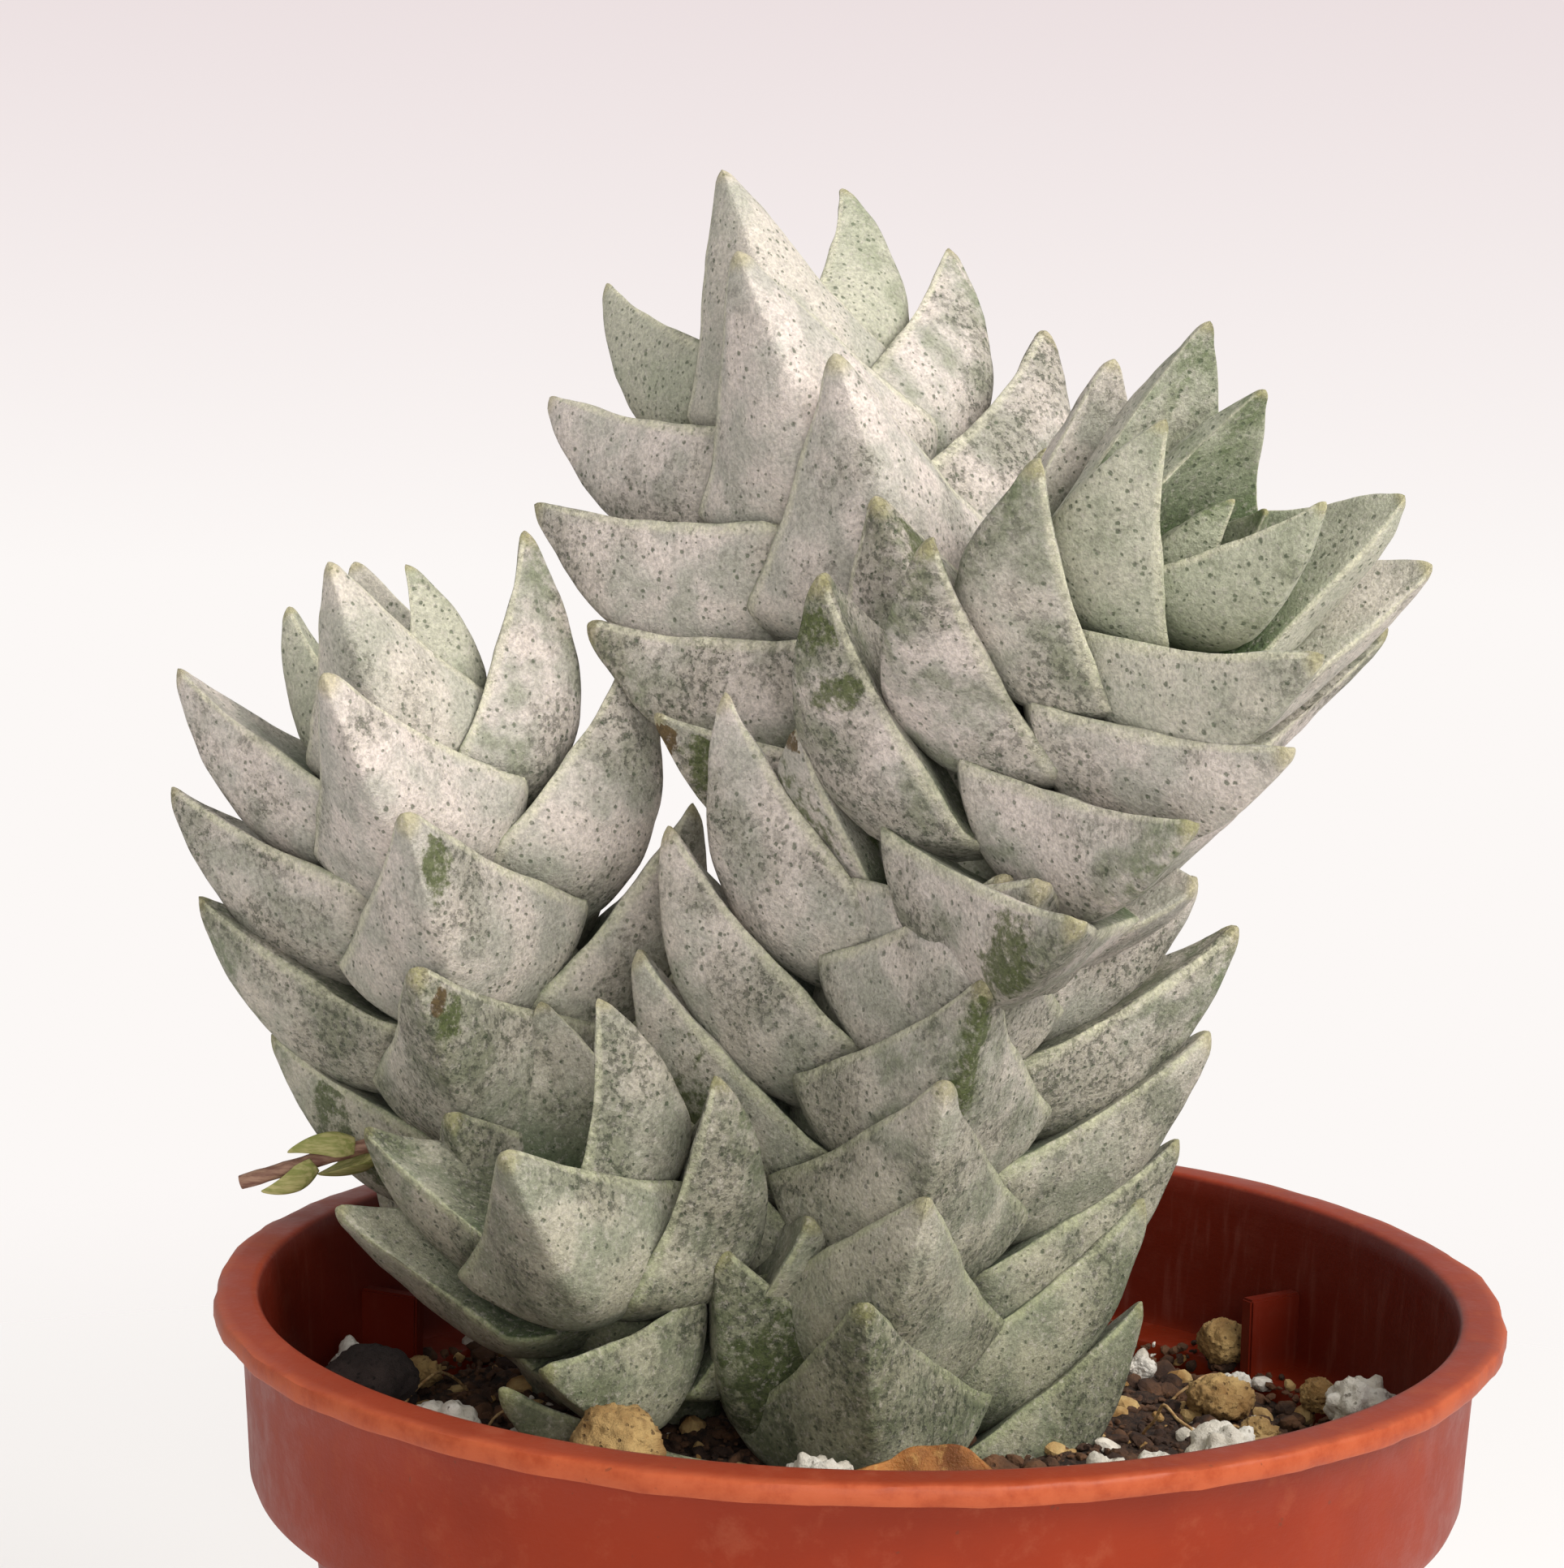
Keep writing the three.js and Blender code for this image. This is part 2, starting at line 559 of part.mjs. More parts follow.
function dryLeafGeometry(grow) {
  const { length, width, thickness } = DRY_LEAF;
  const blade = new THREE.BoxGeometry(length + 2 * grow, width + 2 * grow, thickness + 2 * grow, 6, 3, 1);
  const at = blade.attributes.position;
  for (let i = 0; i < at.count; i += 1) {
    const x = at.getX(i);
    const y = at.getY(i);
    const share = x / (length / 2);
    const narrow = 1 - 0.75 * share * share;
    const curl = 0.16 * y * y + 0.5 * Math.sin(x * 0.9);
    at.setXYZ(i, x, y * narrow, at.getZ(i) + curl);
  }
  blade.rotateX(THREE.MathUtils.degToRad(DRY_LEAF.tilt));
  blade.rotateZ(THREE.MathUtils.degToRad(DRY_LEAF.turn));
  const [x, y] = DRY_LEAF.place;
  return blade.translate(x, y, soilHeight(x, y) + DRY_LEAF.lift);
}

// The dried flower stalk: a thin rod with three small bracts, cut off at its outer end.
const STALK = {
  points: [[-19, 9.5, 4.6], [-24, 8.6, 4.6], [-28, 8.2, 3.6], [-33, 8, 2]],
  radius: 0.6,
  bracts: [
    { share: 0.52, azimuth: 250, length: 3.6 },
    { share: 0.66, azimuth: 70, length: 3.2 },
    { share: 0.8, azimuth: 300, length: 2.8 },
  ],
};

function stalkSolid(grow) {
  const curve = stemCurve({ axis: STALK.points });
  const rod = rodSolid(curve, [[0, STALK.radius], [1, STALK.radius]], 6, 8, grow);
  const bracts = STALK.bracts.map((bract) => placedLeaf({
    length: bract.length,
    width: 1.9,
    thickness: 1.0,
    spread: [34, 20],
    azimuth: bract.azimuth,
    frame: stemFrame(curve, bract.share * curve.getLength()),
  }, grow));
  return unite([rod, ...bracts]);
}

// Assembly

const LOOKS = {
  pot: { color: 0xa4492a, roughness: 0.5 },
  soil: { color: 0x3a2a1f, roughness: 1 },
  main_stem: { color: 0x98a18b, roughness: 0.85 },
  low_shoot: { color: 0x8f9a82, roughness: 0.85 },
  left_stem: { color: 0x9ba48e, roughness: 0.85 },
  top_branch: { color: 0xa3a999, roughness: 0.85 },
  flower_stalk: { color: 0x8a7f4a, roughness: 0.9 },
  dry_leaf: { color: 0x8f5a2a, roughness: 0.8 },
  lava: { color: 0x3c3431, roughness: 0.95 },
  perlite: { color: 0xe6e0d2, roughness: 0.95 },
  pumice: { color: 0xb08d58, roughness: 0.95 },
  bark: { color: 0x5a3a22, roughness: 0.95 },
};

const group = new THREE.Group();

function addPiece(name, look, solid) {
  const material = new THREE.MeshStandardMaterial({ metalness: 0, ...LOOKS[look] });
  const mesh = new THREE.Mesh(toGeometry(largestBody(solid)), material);
  mesh.name = name;
  group.add(mesh);
}

// Each rooted stem's foot stands in a plain round hole in the mix.
function footHole(name, clearance) {
  const stem = STEMS[name];
  return footSolid(stem, stemCurve(stem), clearance);
}

// The room the pot's inner ledge takes, with the clear gap.
function ledgeClearance() {
  const inner = POT.shoulderRadius - POT.wall - GAP;
  const outer = POT.bandFootRadius;
  const bottom = LEDGE - 3;
  const top = LEDGE + GAP;
  const foot = [inner - 0.4, bottom];
  return latheSolid([foot, [outer, bottom], [outer, top], [inner, top], foot]);
}

// What lies bedded in the mix ends just over its surface, and only the feet go down into it.
const HAIR = 0.02;
const soilClearance = cutBy(toSolid(soilGeometry(GAP)), rootedStems.map((name) => footHole(name, HAIR)));

// Where stems press together, the later one is cut by the earlier ones with the clear gap.
const grownStems = [];
Object.keys(STEMS).forEach((name) => {
  addPiece(name, name, cutBy(stemSolids(name, 0), [...grownStems, soilClearance]));
  grownStems.push(stemSolids(name, GAP));
});

addPiece('flower_stalk', 'flower_stalk', cutBy(stalkSolid(0), grownStems));
addPiece('dry_leaf', 'dry_leaf', cutBy(toSolid(dryLeafGeometry(0)), grownStems));

const neighbours = [...grownStems, soilClearance, ledgeClearance(), toSolid(dryLeafGeometry(GAP))];
Object.entries(STONES).forEach(([kind, stones]) => {
  stones.forEach((stone, number) => {
    const solid = toSolid(stoneGeometry(kind, number, stone, 0));
    addPiece(`${kind}_${number + 1}`, kind, cutBy(solid, neighbours));
    neighbours.push(toSolid(stoneGeometry(kind, number, stone, GAP)));
  });
});

addPiece('soil', 'soil', cutBy(toSolid(soilGeometry(0)), rootedStems.map((name) => footHole(name, GAP))));
addPiece('pot', 'pot', potSolid());

export default group;
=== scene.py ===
# %% [markdown]
# # A potted crassula deceptor
# The CAD model is loaded as a fixed frame. It has the true sizes and places, but flat facets.
# Everything that shows is made again here with a fine surface, in metres, in the same frame.

# %% Load the frame
import math

import bmesh
import bpy
import numpy as np
from mathutils import Matrix, Vector


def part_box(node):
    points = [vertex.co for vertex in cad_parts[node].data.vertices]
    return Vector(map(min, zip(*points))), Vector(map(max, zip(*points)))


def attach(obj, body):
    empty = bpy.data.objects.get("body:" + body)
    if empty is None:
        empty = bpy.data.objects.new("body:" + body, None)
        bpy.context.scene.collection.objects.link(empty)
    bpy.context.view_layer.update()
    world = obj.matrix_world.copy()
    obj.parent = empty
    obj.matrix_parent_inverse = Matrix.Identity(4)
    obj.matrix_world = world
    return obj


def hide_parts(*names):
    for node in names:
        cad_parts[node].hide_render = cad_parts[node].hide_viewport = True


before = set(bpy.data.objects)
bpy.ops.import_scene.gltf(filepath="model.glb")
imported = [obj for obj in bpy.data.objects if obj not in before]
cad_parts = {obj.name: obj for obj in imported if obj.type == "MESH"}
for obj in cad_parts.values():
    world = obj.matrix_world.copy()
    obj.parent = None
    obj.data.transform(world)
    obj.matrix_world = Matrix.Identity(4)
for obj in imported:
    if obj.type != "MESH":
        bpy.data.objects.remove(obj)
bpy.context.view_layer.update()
MM = 0.001
LIP_HEIGHT = 56.0
print("frame:", len(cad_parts), "nodes")

# %% [markdown]
# The photograph was taken from close by, a little above the lip of the pot, so near leaves look larger.
# The camera's place and angles were fitted to the oval of the lip. Its image is nearly square,
# so the sensor height is given and the lens is about 80 mm.

# %% Camera
CAMERA_PLACE = Vector((0, -173.5, 103.8)) * MM
CAMERA_YAW, CAMERA_PITCH, CAMERA_ROLL = -1.45, 7.43, 1.22
LENS, SENSOR = 80.4, 36.0


def aimed_camera():
    yaw, pitch, roll = (math.radians(a) for a in (CAMERA_YAW, CAMERA_PITCH, CAMERA_ROLL))
    ahead = Vector((math.sin(yaw) * math.cos(pitch), math.cos(yaw) * math.cos(pitch), -math.sin(pitch)))
    right = Vector((math.cos(yaw), -math.sin(yaw), 0))
    up = right.cross(ahead)
    turned_right = right * math.cos(roll) + up * math.sin(roll)
    turned_up = up * math.cos(roll) - right * math.sin(roll)
    axes = Matrix((turned_right, turned_up, -ahead)).transposed().to_4x4()
    data = bpy.data.cameras.new("camera")
    data.lens = LENS
    data.sensor_fit = "VERTICAL"
    data.sensor_height = SENSOR
    data.clip_start = 0.01
    camera = bpy.data.objects.new("camera", data)
    bpy.context.scene.collection.objects.link(camera)
    camera.matrix_world = Matrix.Translation(CAMERA_PLACE) @ axes
    return camera


bpy.context.scene.camera = aimed_camera()
print("camera looks from", [round(c, 4) for c in CAMERA_PLACE])

# %% [markdown]
# A few helpers keep the node trees short. `Nodes` adds nodes to any tree, shader or geometry,
# and links whatever it is given: a socket is linked, and a plain value is set on the input.

# %% Helpers for node trees


class Nodes:
    """Adds nodes to one tree. Arguments are input names or indices with a socket or a value."""

    def __init__(self, tree):
        self.tree = tree

    def add(self, kind, inputs=None, **settings):
        node = self.tree.nodes.new(kind)
        for name, value in settings.items():
            setattr(node, name, value)
        for name, value in (inputs or {}).items():
            self.feed(node.inputs[name], value)
        return node

    def feed(self, socket, value):
        if isinstance(value, bpy.types.NodeSocket):
            self.tree.links.new(value, socket)
        else:
            socket.default_value = value

    def math(self, operation, a, b=0.0, c=0.0, clamp=False):
        node = self.add("ShaderNodeMath", {0: a, 1: b, 2: c}, operation=operation, use_clamp=clamp)
        return node.outputs[0]

    def plus(self, a, b):
        return self.math("ADD", a, b)

    def minus(self, a, b):
        return self.math("SUBTRACT", a, b)

    def times(self, a, b):
        return self.math("MULTIPLY", a, b)

    def vector(self, operation, a, b=(0, 0, 0)):
        return self.add("ShaderNodeVectorMath", {0: a, 1: b}, operation=operation).outputs[0]

    def scaled(self, vector, factor):
        return self.add("ShaderNodeVectorMath", {0: vector, "Scale": factor}, operation="SCALE").outputs[0]

    def parts(self, vector):
        """The X, Y and Z of a vector."""
        return self.add("ShaderNodeSeparateXYZ", {0: vector}).outputs

    def radius(self, place):
        """How far a place is from the upright axis of the pot."""
        axis = self.parts(place)
        squares = [self.math("POWER", axis[name], 2.0) for name in "XY"]
        return self.math("SQRT", self.plus(*squares))

    def between(self, value, low, high, out_low=0.0, out_high=1.0):
        """Maps low..high to out_low..out_high with soft ends."""
        inputs = {"Value": value, "From Min": low, "From Max": high, "To Min": out_low, "To Max": out_high}
        return self.add("ShaderNodeMapRange", inputs, interpolation_type="SMOOTHSTEP").outputs[0]

    def noise(self, vector, scale, detail=2.0, roughness=0.5, colour=False):
        inputs = {"Vector": vector, "Scale": scale, "Detail": detail, "Roughness": roughness}
        return self.add("ShaderNodeTexNoise", inputs).outputs["Color" if colour else 0]

    def mix(self, factor, a, b, blend="MIX"):
        node = self.add("ShaderNodeMix", data_type="RGBA", blend_type=blend)
        sockets = [s for s in node.inputs if s.enabled]
        for socket, value in zip(sockets, (factor, a, b)):
            self.feed(socket, value)
        return next(s for s in node.outputs if s.enabled)

    def attribute(self, name, output="Fac"):
        return self.add("ShaderNodeAttribute", attribute_name=name).outputs[output]

    def copies(self, points, shape, **values):
        """A copy of the shape on every point, made real."""
        copies = self.add("GeometryNodeInstanceOnPoints", {"Points": points, "Instance": shape, **values})
        return self.add("GeometryNodeRealizeInstances", {"Geometry": copies.outputs[0]}).outputs[0]

    def moved(self, geometry, offset):
        return self.add("GeometryNodeSetPosition", {"Geometry": geometry, "Offset": offset}).outputs[0]

    def dressed(self, geometry, material):
        return self.add("GeometryNodeSetMaterial", {"Geometry": geometry, "Material": material}).outputs[0]

    def millimetres(self):
        """The place of each point of a geometry, in millimetres."""
        return self.scaled(self.add("GeometryNodeInputPosition").outputs[0], 1 / MM)

    def outward(self):
        return self.add("GeometryNodeInputNormal").outputs[0]


def srgb(red, green, blue):
    """A colour as it is read off a screen, 0 to 255, as the linear value that Blender wants."""
    channels = [c / 255 for c in (red, green, blue)]
    return tuple(c / 12.92 if c <= 0.04045 else ((c + 0.055) / 1.055) ** 2.4 for c in channels) + (1.0,)


def new_material(name, roughness, **constants):
    """A material with its Principled shader, its node helper and coordinates in millimetres."""
    material = bpy.data.materials.new(name)
    material.use_nodes = True
    nodes = Nodes(material.node_tree)
    shader = material.node_tree.nodes["Principled BSDF"]
    shader.inputs["Roughness"].default_value = roughness
    for socket, value in constants.items():
        shader.inputs[socket.replace("_", " ")].default_value = value
    coordinates = nodes.add("ShaderNodeTexCoord").outputs["Object"]
    return material, nodes, shader, nodes.scaled(coordinates, 1 / MM)


def bump(nodes, shader, height, strength, depth_mm):
    """Feeds the shader's normal from a height. depth_mm is how deep a height of one stands."""
    inputs = {"Height": height, "Strength": strength, "Distance": depth_mm * MM}
    nodes.feed(shader.inputs["Normal"], nodes.add("ShaderNodeBump", inputs).outputs[0])


def mesh_object(name, vertices, faces, material=None, smooth=True):
    mesh = bpy.data.meshes.new(name)
    mesh.from_pydata([tuple(v) for v in vertices], [], [tuple(int(i) for i in f) for f in faces])
    mesh.validate()
    mesh.polygons.foreach_set("use_smooth", [smooth] * len(mesh.polygons))
    thing = bpy.data.objects.new(name, mesh)
    bpy.context.scene.collection.objects.link(thing)
    if material:
        mesh.materials.append(material)
    return thing


def shade_smooth(thing):
    thing.data.polygons.foreach_set("use_smooth", [True] * len(thing.data.polygons))


def point_attribute(mesh, name, values, kind="FLOAT"):
    attribute = mesh.attributes.new(name, kind, "POINT")
    key = "vector" if kind == "FLOAT_VECTOR" else "value"
    attribute.data.foreach_set(key, np.asarray(values, np.float32).ravel())


def as_plain_mesh(thing, name):
    """The evaluated object as a new plain mesh. The modifiers and the source object go."""
    graph = bpy.context.evaluated_depsgraph_get()
    mesh = bpy.data.meshes.new_from_object(thing.evaluated_get(graph))
    mesh.name = name
    plain = bpy.data.objects.new(name, mesh)
    bpy.context.scene.collection.objects.link(plain)
    bpy.data.objects.remove(thing)
    return plain


def triangles(thing):
    return sum(len(p.vertices) - 2 for p in thing.data.polygons)


pieces = []


def fit(piece, slot, *nodes):
    """The finished piece rides on the part and stands for its CAD nodes. Its slot is not used."""
    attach(piece, "root")
    if nodes:
        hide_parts(*nodes)
    pieces.append(piece)
    print(piece.name, "-", triangles(piece), "triangles, for", len(nodes), "nodes")


print("helpers ready")

# %% [markdown]
# Nature never repeats itself, but a script must give the same plant every time.
# `vary` turns any number into a fixed value between -1 and 1, and `along` reads a table
# of values by the share of the way along a stem.

# %% Rules for variety


def vary(number):
    wave = math.sin(number * 12.9898 + 4.1414) * 43758.5453
    return 2 * (wave - math.floor(wave)) - 1


def along(table, share):
    return float(np.interp(share, [x for x, _ in table], [y for _, y in table]))


print("the first values:", [round(vary(n), 2) for n in range(4)])

# %% [markdown]
# Each leaf is a thick wedge. Its top is nearly flat and a little dished, its underside is a plump keel,
# and the two meet in a narrow rounded margin. It is widest near the stem and runs to a blunt point.
# One leaf is modelled in shares: x runs along it from 0 to 1, y is across as a share of the half width,
# and z is above the margin as a share of the thickness. Every real leaf is this one, stretched and bent.

# %% One leaf, in shares
LEAF_SHOULDER = 0.3
LEAF_BELLY = 0.4
LEAF_ROWS = 44
TOP_COLUMNS = 17
UNDER_COLUMNS = 27
MARGIN_ROUND = 0.045
WIDTH_KEPT, WIDTH_ADDED = 0.97, 0.045
BASE_DEPTH = -0.3
DISH_DEPTH = 0.16
BLUNT = 0.035
BEAK_START = 0.66
BEAK_LIFT = 0.04


def leaf_width_share(u):
    v = np.clip((u - LEAF_SHOULDER) / (1 - LEAF_SHOULDER), 0, 1)
    rising = 0.5 + 0.5 * np.sin(np.pi / 2 * np.clip(u / LEAF_SHOULDER, 0, 1))
    return np.where(u < LEAF_SHOULDER, rising, (1 - v) * (1 - 0.3 * v * (1 - v)))


def leaf_half_width(u):
    """The width share, never quite nothing, so that the tip stays blunt."""
    return leaf_width_share(u) * WIDTH_KEPT + WIDTH_ADDED


def leaf_thickness_share(u):
    v = np.clip((u - LEAF_BELLY) / (1 - LEAF_BELLY), 0, 1)
    rising = 0.62 + 0.38 * np.sin(np.pi / 2 * np.clip(u / LEAF_BELLY, 0, 1))
    return np.where(u < LEAF_BELLY, rising, 1 - v ** 1.6)


def leaf_ring(u):
    """One closed cross section at share u, from the right margin over the top and back underneath."""
    blunt = math.sqrt(max(1 - max((u - 1 + BLUNT) / BLUNT, 0) ** 2, 0))
    width = float(leaf_half_width(np.float64(u))) * blunt
    depth = (float(leaf_thickness_share(np.float64(u))) + 0.03) * blunt
    top = np.cos(np.linspace(0, np.pi, TOP_COLUMNS))
    under = np.cos(np.linspace(np.pi, 2 * np.pi, UNDER_COLUMNS))[1:-1]
    rounded = MARGIN_ROUND * blunt
    keel = 2.1 - 1.0 * u ** 1.3
    beak = BEAK_LIFT * max((u - BEAK_START) / (1 - BEAK_START), 0) ** 2
    over = rounded * (1 - top ** 8) ** 0.5 - DISH_DEPTH * min(1, 0.35 + 2 * u) * width * (1 - top ** 2)
    below = -rounded * (1 - under ** 8) ** 0.5 - depth * (1 - np.abs(under) ** keel) ** 0.85
    across = np.concatenate([top, under]) * width
    above = np.concatenate([over, below]) + beak
    return np.stack([np.full(len(across), u), across, above], axis=1)


def unit_leaf():
    shares = 0.02 + 0.98 * (1 - (1 - np.linspace(0, 1, LEAF_ROWS)) ** 1.25)
    rings = [leaf_ring(min(float(u), 0.9995)) for u in shares]
    count = len(rings[0])
    vertices = np.concatenate(rings + [[[1.0, 0, BEAK_LIFT]], [[0.0, 0, BASE_DEPTH]]])
    tip, base = len(vertices) - 2, len(vertices) - 1
    faces = []
    for i in range(LEAF_ROWS - 1):
        for j in range(count):
            a, b = i * count + j, i * count + (j + 1) % count
            faces.append((a, b, b + count, a + count))
    last = (LEAF_ROWS - 1) * count
    faces += [(last + j, last + (j + 1) % count, tip) for j in range(count)]
    faces += [((j + 1) % count, j, base) for j in range(count)]
    leaf = mesh_object("unit_leaf", vertices, faces)
    point_attribute(leaf.data, "share", vertices, "FLOAT_VECTOR")
    edge = np.abs(vertices[:, 1]) / np.maximum(leaf_half_width(vertices[:, 0]), 0.02)
    column = np.append(np.tile(np.arange(count), LEAF_ROWS), [0, 0])
    top_side = (column < TOP_COLUMNS).astype(float)
    margin = np.clip((edge - 0.9) / 0.1, 0, 1) * np.clip((vertices[:, 0] - 0.06) / 0.1, 0, 1)
    point_attribute(leaf.data, "margin", margin)
    point_attribute(leaf.data, "topside", top_side)
    return leaf


leaf_model = unit_leaf()
print("unit leaf:", triangles(leaf_model), "triangles")

# %% [markdown]
# The four leafy stems. A stem's axis is a smooth curve, and pairs of leaves stand along it,
# each pair turned a quarter from the one below. The tables say how the leaves change from the foot
# to the growing point. These are the same numbers as in the CAD source, because both models
# must have the same leaves in the same places.

# %% The stems' tables
STEMS = {
    "main_stem": dict(
        axis=[(0.3, 1.1, -11), (0, 1.9, -5), (1.1, 2.6, 2), (2.6, 2.6, 12), (4.4, 2.2, 19), (6, -0.8, 22.5),
              (10, -5.2, 30), (14.2, -10.2, 36.4)],
        pairs=23, start=0, foot=2.8,
        core=[(0, 3), (0.12, 5.6), (0.7, 5.6), (1, 1.2)],
        gap=[(0, 2.6), (0.35, 2.9), (0.7, 2.6), (0.89, 1.3), (1, 0.9)],
        turn=[(0, 3), (0.25, 6), (0.53, 9), (0.75, 34), (1, 38)],
        length=[(0, 17.5), (0.42, 18), (0.7, 16.6), (0.86, 15.5), (0.95, 12), (1, 6)],
        width=[(0, 12.6), (0.63, 13.2), (0.84, 12), (0.95, 8.5), (1, 4)],
        thickness=[(0, 5.2), (0.63, 5.8), (0.89, 5), (1, 2)],
        spread_base=[(0, 69), (0.35, 65), (0.7, 70), (0.89, 48), (1, 14)],
        spread_tip=[(0, 52), (0.35, 47), (0.7, 50), (0.89, 28), (1, 3)],
        own={"left0": dict(length=22, width=10.5, lean=12, twist=30),
             "left2": dict(length=13.5, twist=48),
             "right10": dict(length=14, lean=4),
             "right12": dict(length=11.5, lean=6),
             "left12": dict(length=13, width=11, lean=6),
             "right14": dict(length=12.5, lean=4)},
    ),
    "low_shoot": dict(
        axis=[(-9, 6, -11), (-9.3, 3.5, -7), (-10.2, 0.5, -3.2), (-12.4, -1.4, -0.1), (-14.2, -2.3, 3.6)],
        pairs=5, start=9.2, foot=2.0, youth=0.5,
        core=[(0, 2.1), (0.45, 2.2), (0.65, 4), (1, 1.2)],
        gap=[(0, 2.4), (1, 1.8)],
        turn=[(0, -22), (1, -14)],
        length=[(0, 13.5), (0.5, 14.5), (1, 11.5)],
        width=[(0, 10.5), (0.75, 11), (1, 9.6)],
        thickness=[(0, 4.6), (0.75, 5), (1, 4.4)],
        spread_base=[(0, 62), (1, 53)],
        spread_tip=[(0, 46), (1, 36)],
        own={"front1": dict(length=12.5), "front3": dict(width=12, lean=-7, twist=12),
             "right4": dict(length=12.5, lean=-14), "back3": dict(lean=-12)},
    ),
    "left_stem": dict(
        axis=[(-14, 10, -11), (-16.5, 10.8, -0.5), (-18.9, 11, 8), (-20.6, 10.8, 14.2), (-22, 11.3, 18.5),
              (-23.7, 11.4, 22.8)],
        pairs=12, start=10.2, foot=2.6,
        core=[(0, 2.7), (0.3, 5.2), (0.7, 5.2), (1, 1.2)],
        gap=[(0, 3.1), (0.53, 3.0), (0.75, 1.6), (1, 1.0)],
        turn=[(0, -8), (1, 4)],
        length=[(0, 13.5), (0.6, 17.8), (0.82, 14.5), (1, 7)],
        width=[(0, 11.5), (0.45, 13), (0.82, 10.5), (1, 5)],
        thickness=[(0, 5), (0.45, 5.8), (0.82, 4.6), (1, 2.2)],
        spread_base=[(0, 71), (0.59, 59), (0.82, 38), (1, 14)],
        spread_tip=[(0, 53), (0.59, 43), (0.82, 22), (1, 4)],
        own={"left0": dict(length=10.5, width=8.5, lean=-3), "left4": dict(length=17.5)},
    ),
    "top_branch": dict(
        axis=[(6.5, 7.5, 17.5), (4, 8.6, 24), (1.2, 11, 29.8), (-1.2, 13.8, 35.2), (-2.9, 16, 38.8),
              (-4.3, 18, 42)],
        pairs=12, start=0, foot=0,
        core=[(0, 3), (0.15, 5.6), (0.65, 5.4), (1, 1.4)],
        gap=[(0, 3.3), (0.55, 2.9), (0.87, 2.0), (1, 1.4)],
        turn=[(0, 20), (0.55, 10), (1, 3)],
        length=[(0, 15), (0.55, 18.5), (0.9, 16), (1, 10)],
        width=[(0, 11.5), (0.55, 13.6), (0.9, 11), (1, 6)],
        thickness=[(0, 5), (0.55, 5.8), (0.9, 4.6), (1, 2.6)],
        spread_base=[(0, 68), (0.55, 64), (0.9, 38), (1, 16)],
        spread_tip=[(0, 49), (0.55, 47), (0.9, 24), (1, 6)],
        own={},
    ),
}
SIDES = {"front": 0, "right": 90, "back": 180, "left": 270}
print("leaves in all:", sum(2 * stem["pairs"] for stem in STEMS.values()))

# %% [markdown]
# The axis is a smooth curve through its points. `Axis` measures it once, in millimetres,
# and then gives the place, the direction and the side that faces the viewer at any distance along it.

# %% The stems' axes


class Axis:
    STEPS = 400

    def __init__(self, points):
        inner = np.array(points, float) + (0, 0, LIP_HEIGHT)
        first, last = 2 * inner[0] - inner[1], 2 * inner[-1] - inner[-2]
        self.points = np.vstack([first, inner, last])
        self.spans = len(inner) - 1
        samples = np.array([self.at(t) for t in np.linspace(0, 1, self.STEPS + 1)])
        steps = np.linalg.norm(np.diff(samples, axis=0), axis=1)
        self.lengths = np.concatenate([[0], np.cumsum(steps)])
        self.length = self.lengths[-1]

    def at(self, t):
        whole = min(max(t, 0), 1) * self.spans
        i = min(int(whole), self.spans - 1)
        s = whole - i
        a, b, c, d = self.points[i:i + 4]
        leave, arrive = 0.5 * (c - a), 0.5 * (d - b)
        return ((2 * s ** 3 - 3 * s ** 2 + 1) * b + (s ** 3 - 2 * s ** 2 + s) * leave
                + (3 * s ** 2 - 2 * s ** 3) * c + (s ** 3 - s ** 2) * arrive)

    def frame(self, distance):
        inside = min(max(distance, 0), self.length)
        t = np.interp(inside, self.lengths, np.linspace(0, 1, self.STEPS + 1))
        low, high = max(t - 1e-4, 0), min(t + 1e-4, 1)
        up = self.at(high) - self.at(low)
        up /= np.linalg.norm(up)
        place = self.at(t) + up * (distance - inside)
        front = np.array([0, -1.0, 0])
        front = front - up * (front @ up)
        front /= np.linalg.norm(front)
        return place, up, front, np.cross(up, front)


axes = {name: Axis(stem["axis"]) for name, stem in STEMS.items()}
print("stem lengths in mm:", {name: round(axis.length, 1) for name, axis in axes.items()})

# %% [markdown]
# Every leaf gets its own measures: the table's value for its pair, a little chance,
# and for a few leaves what the photograph shows of them. `age` is 0 at the foot and 1 at the growing point.

# %% Measures of every leaf


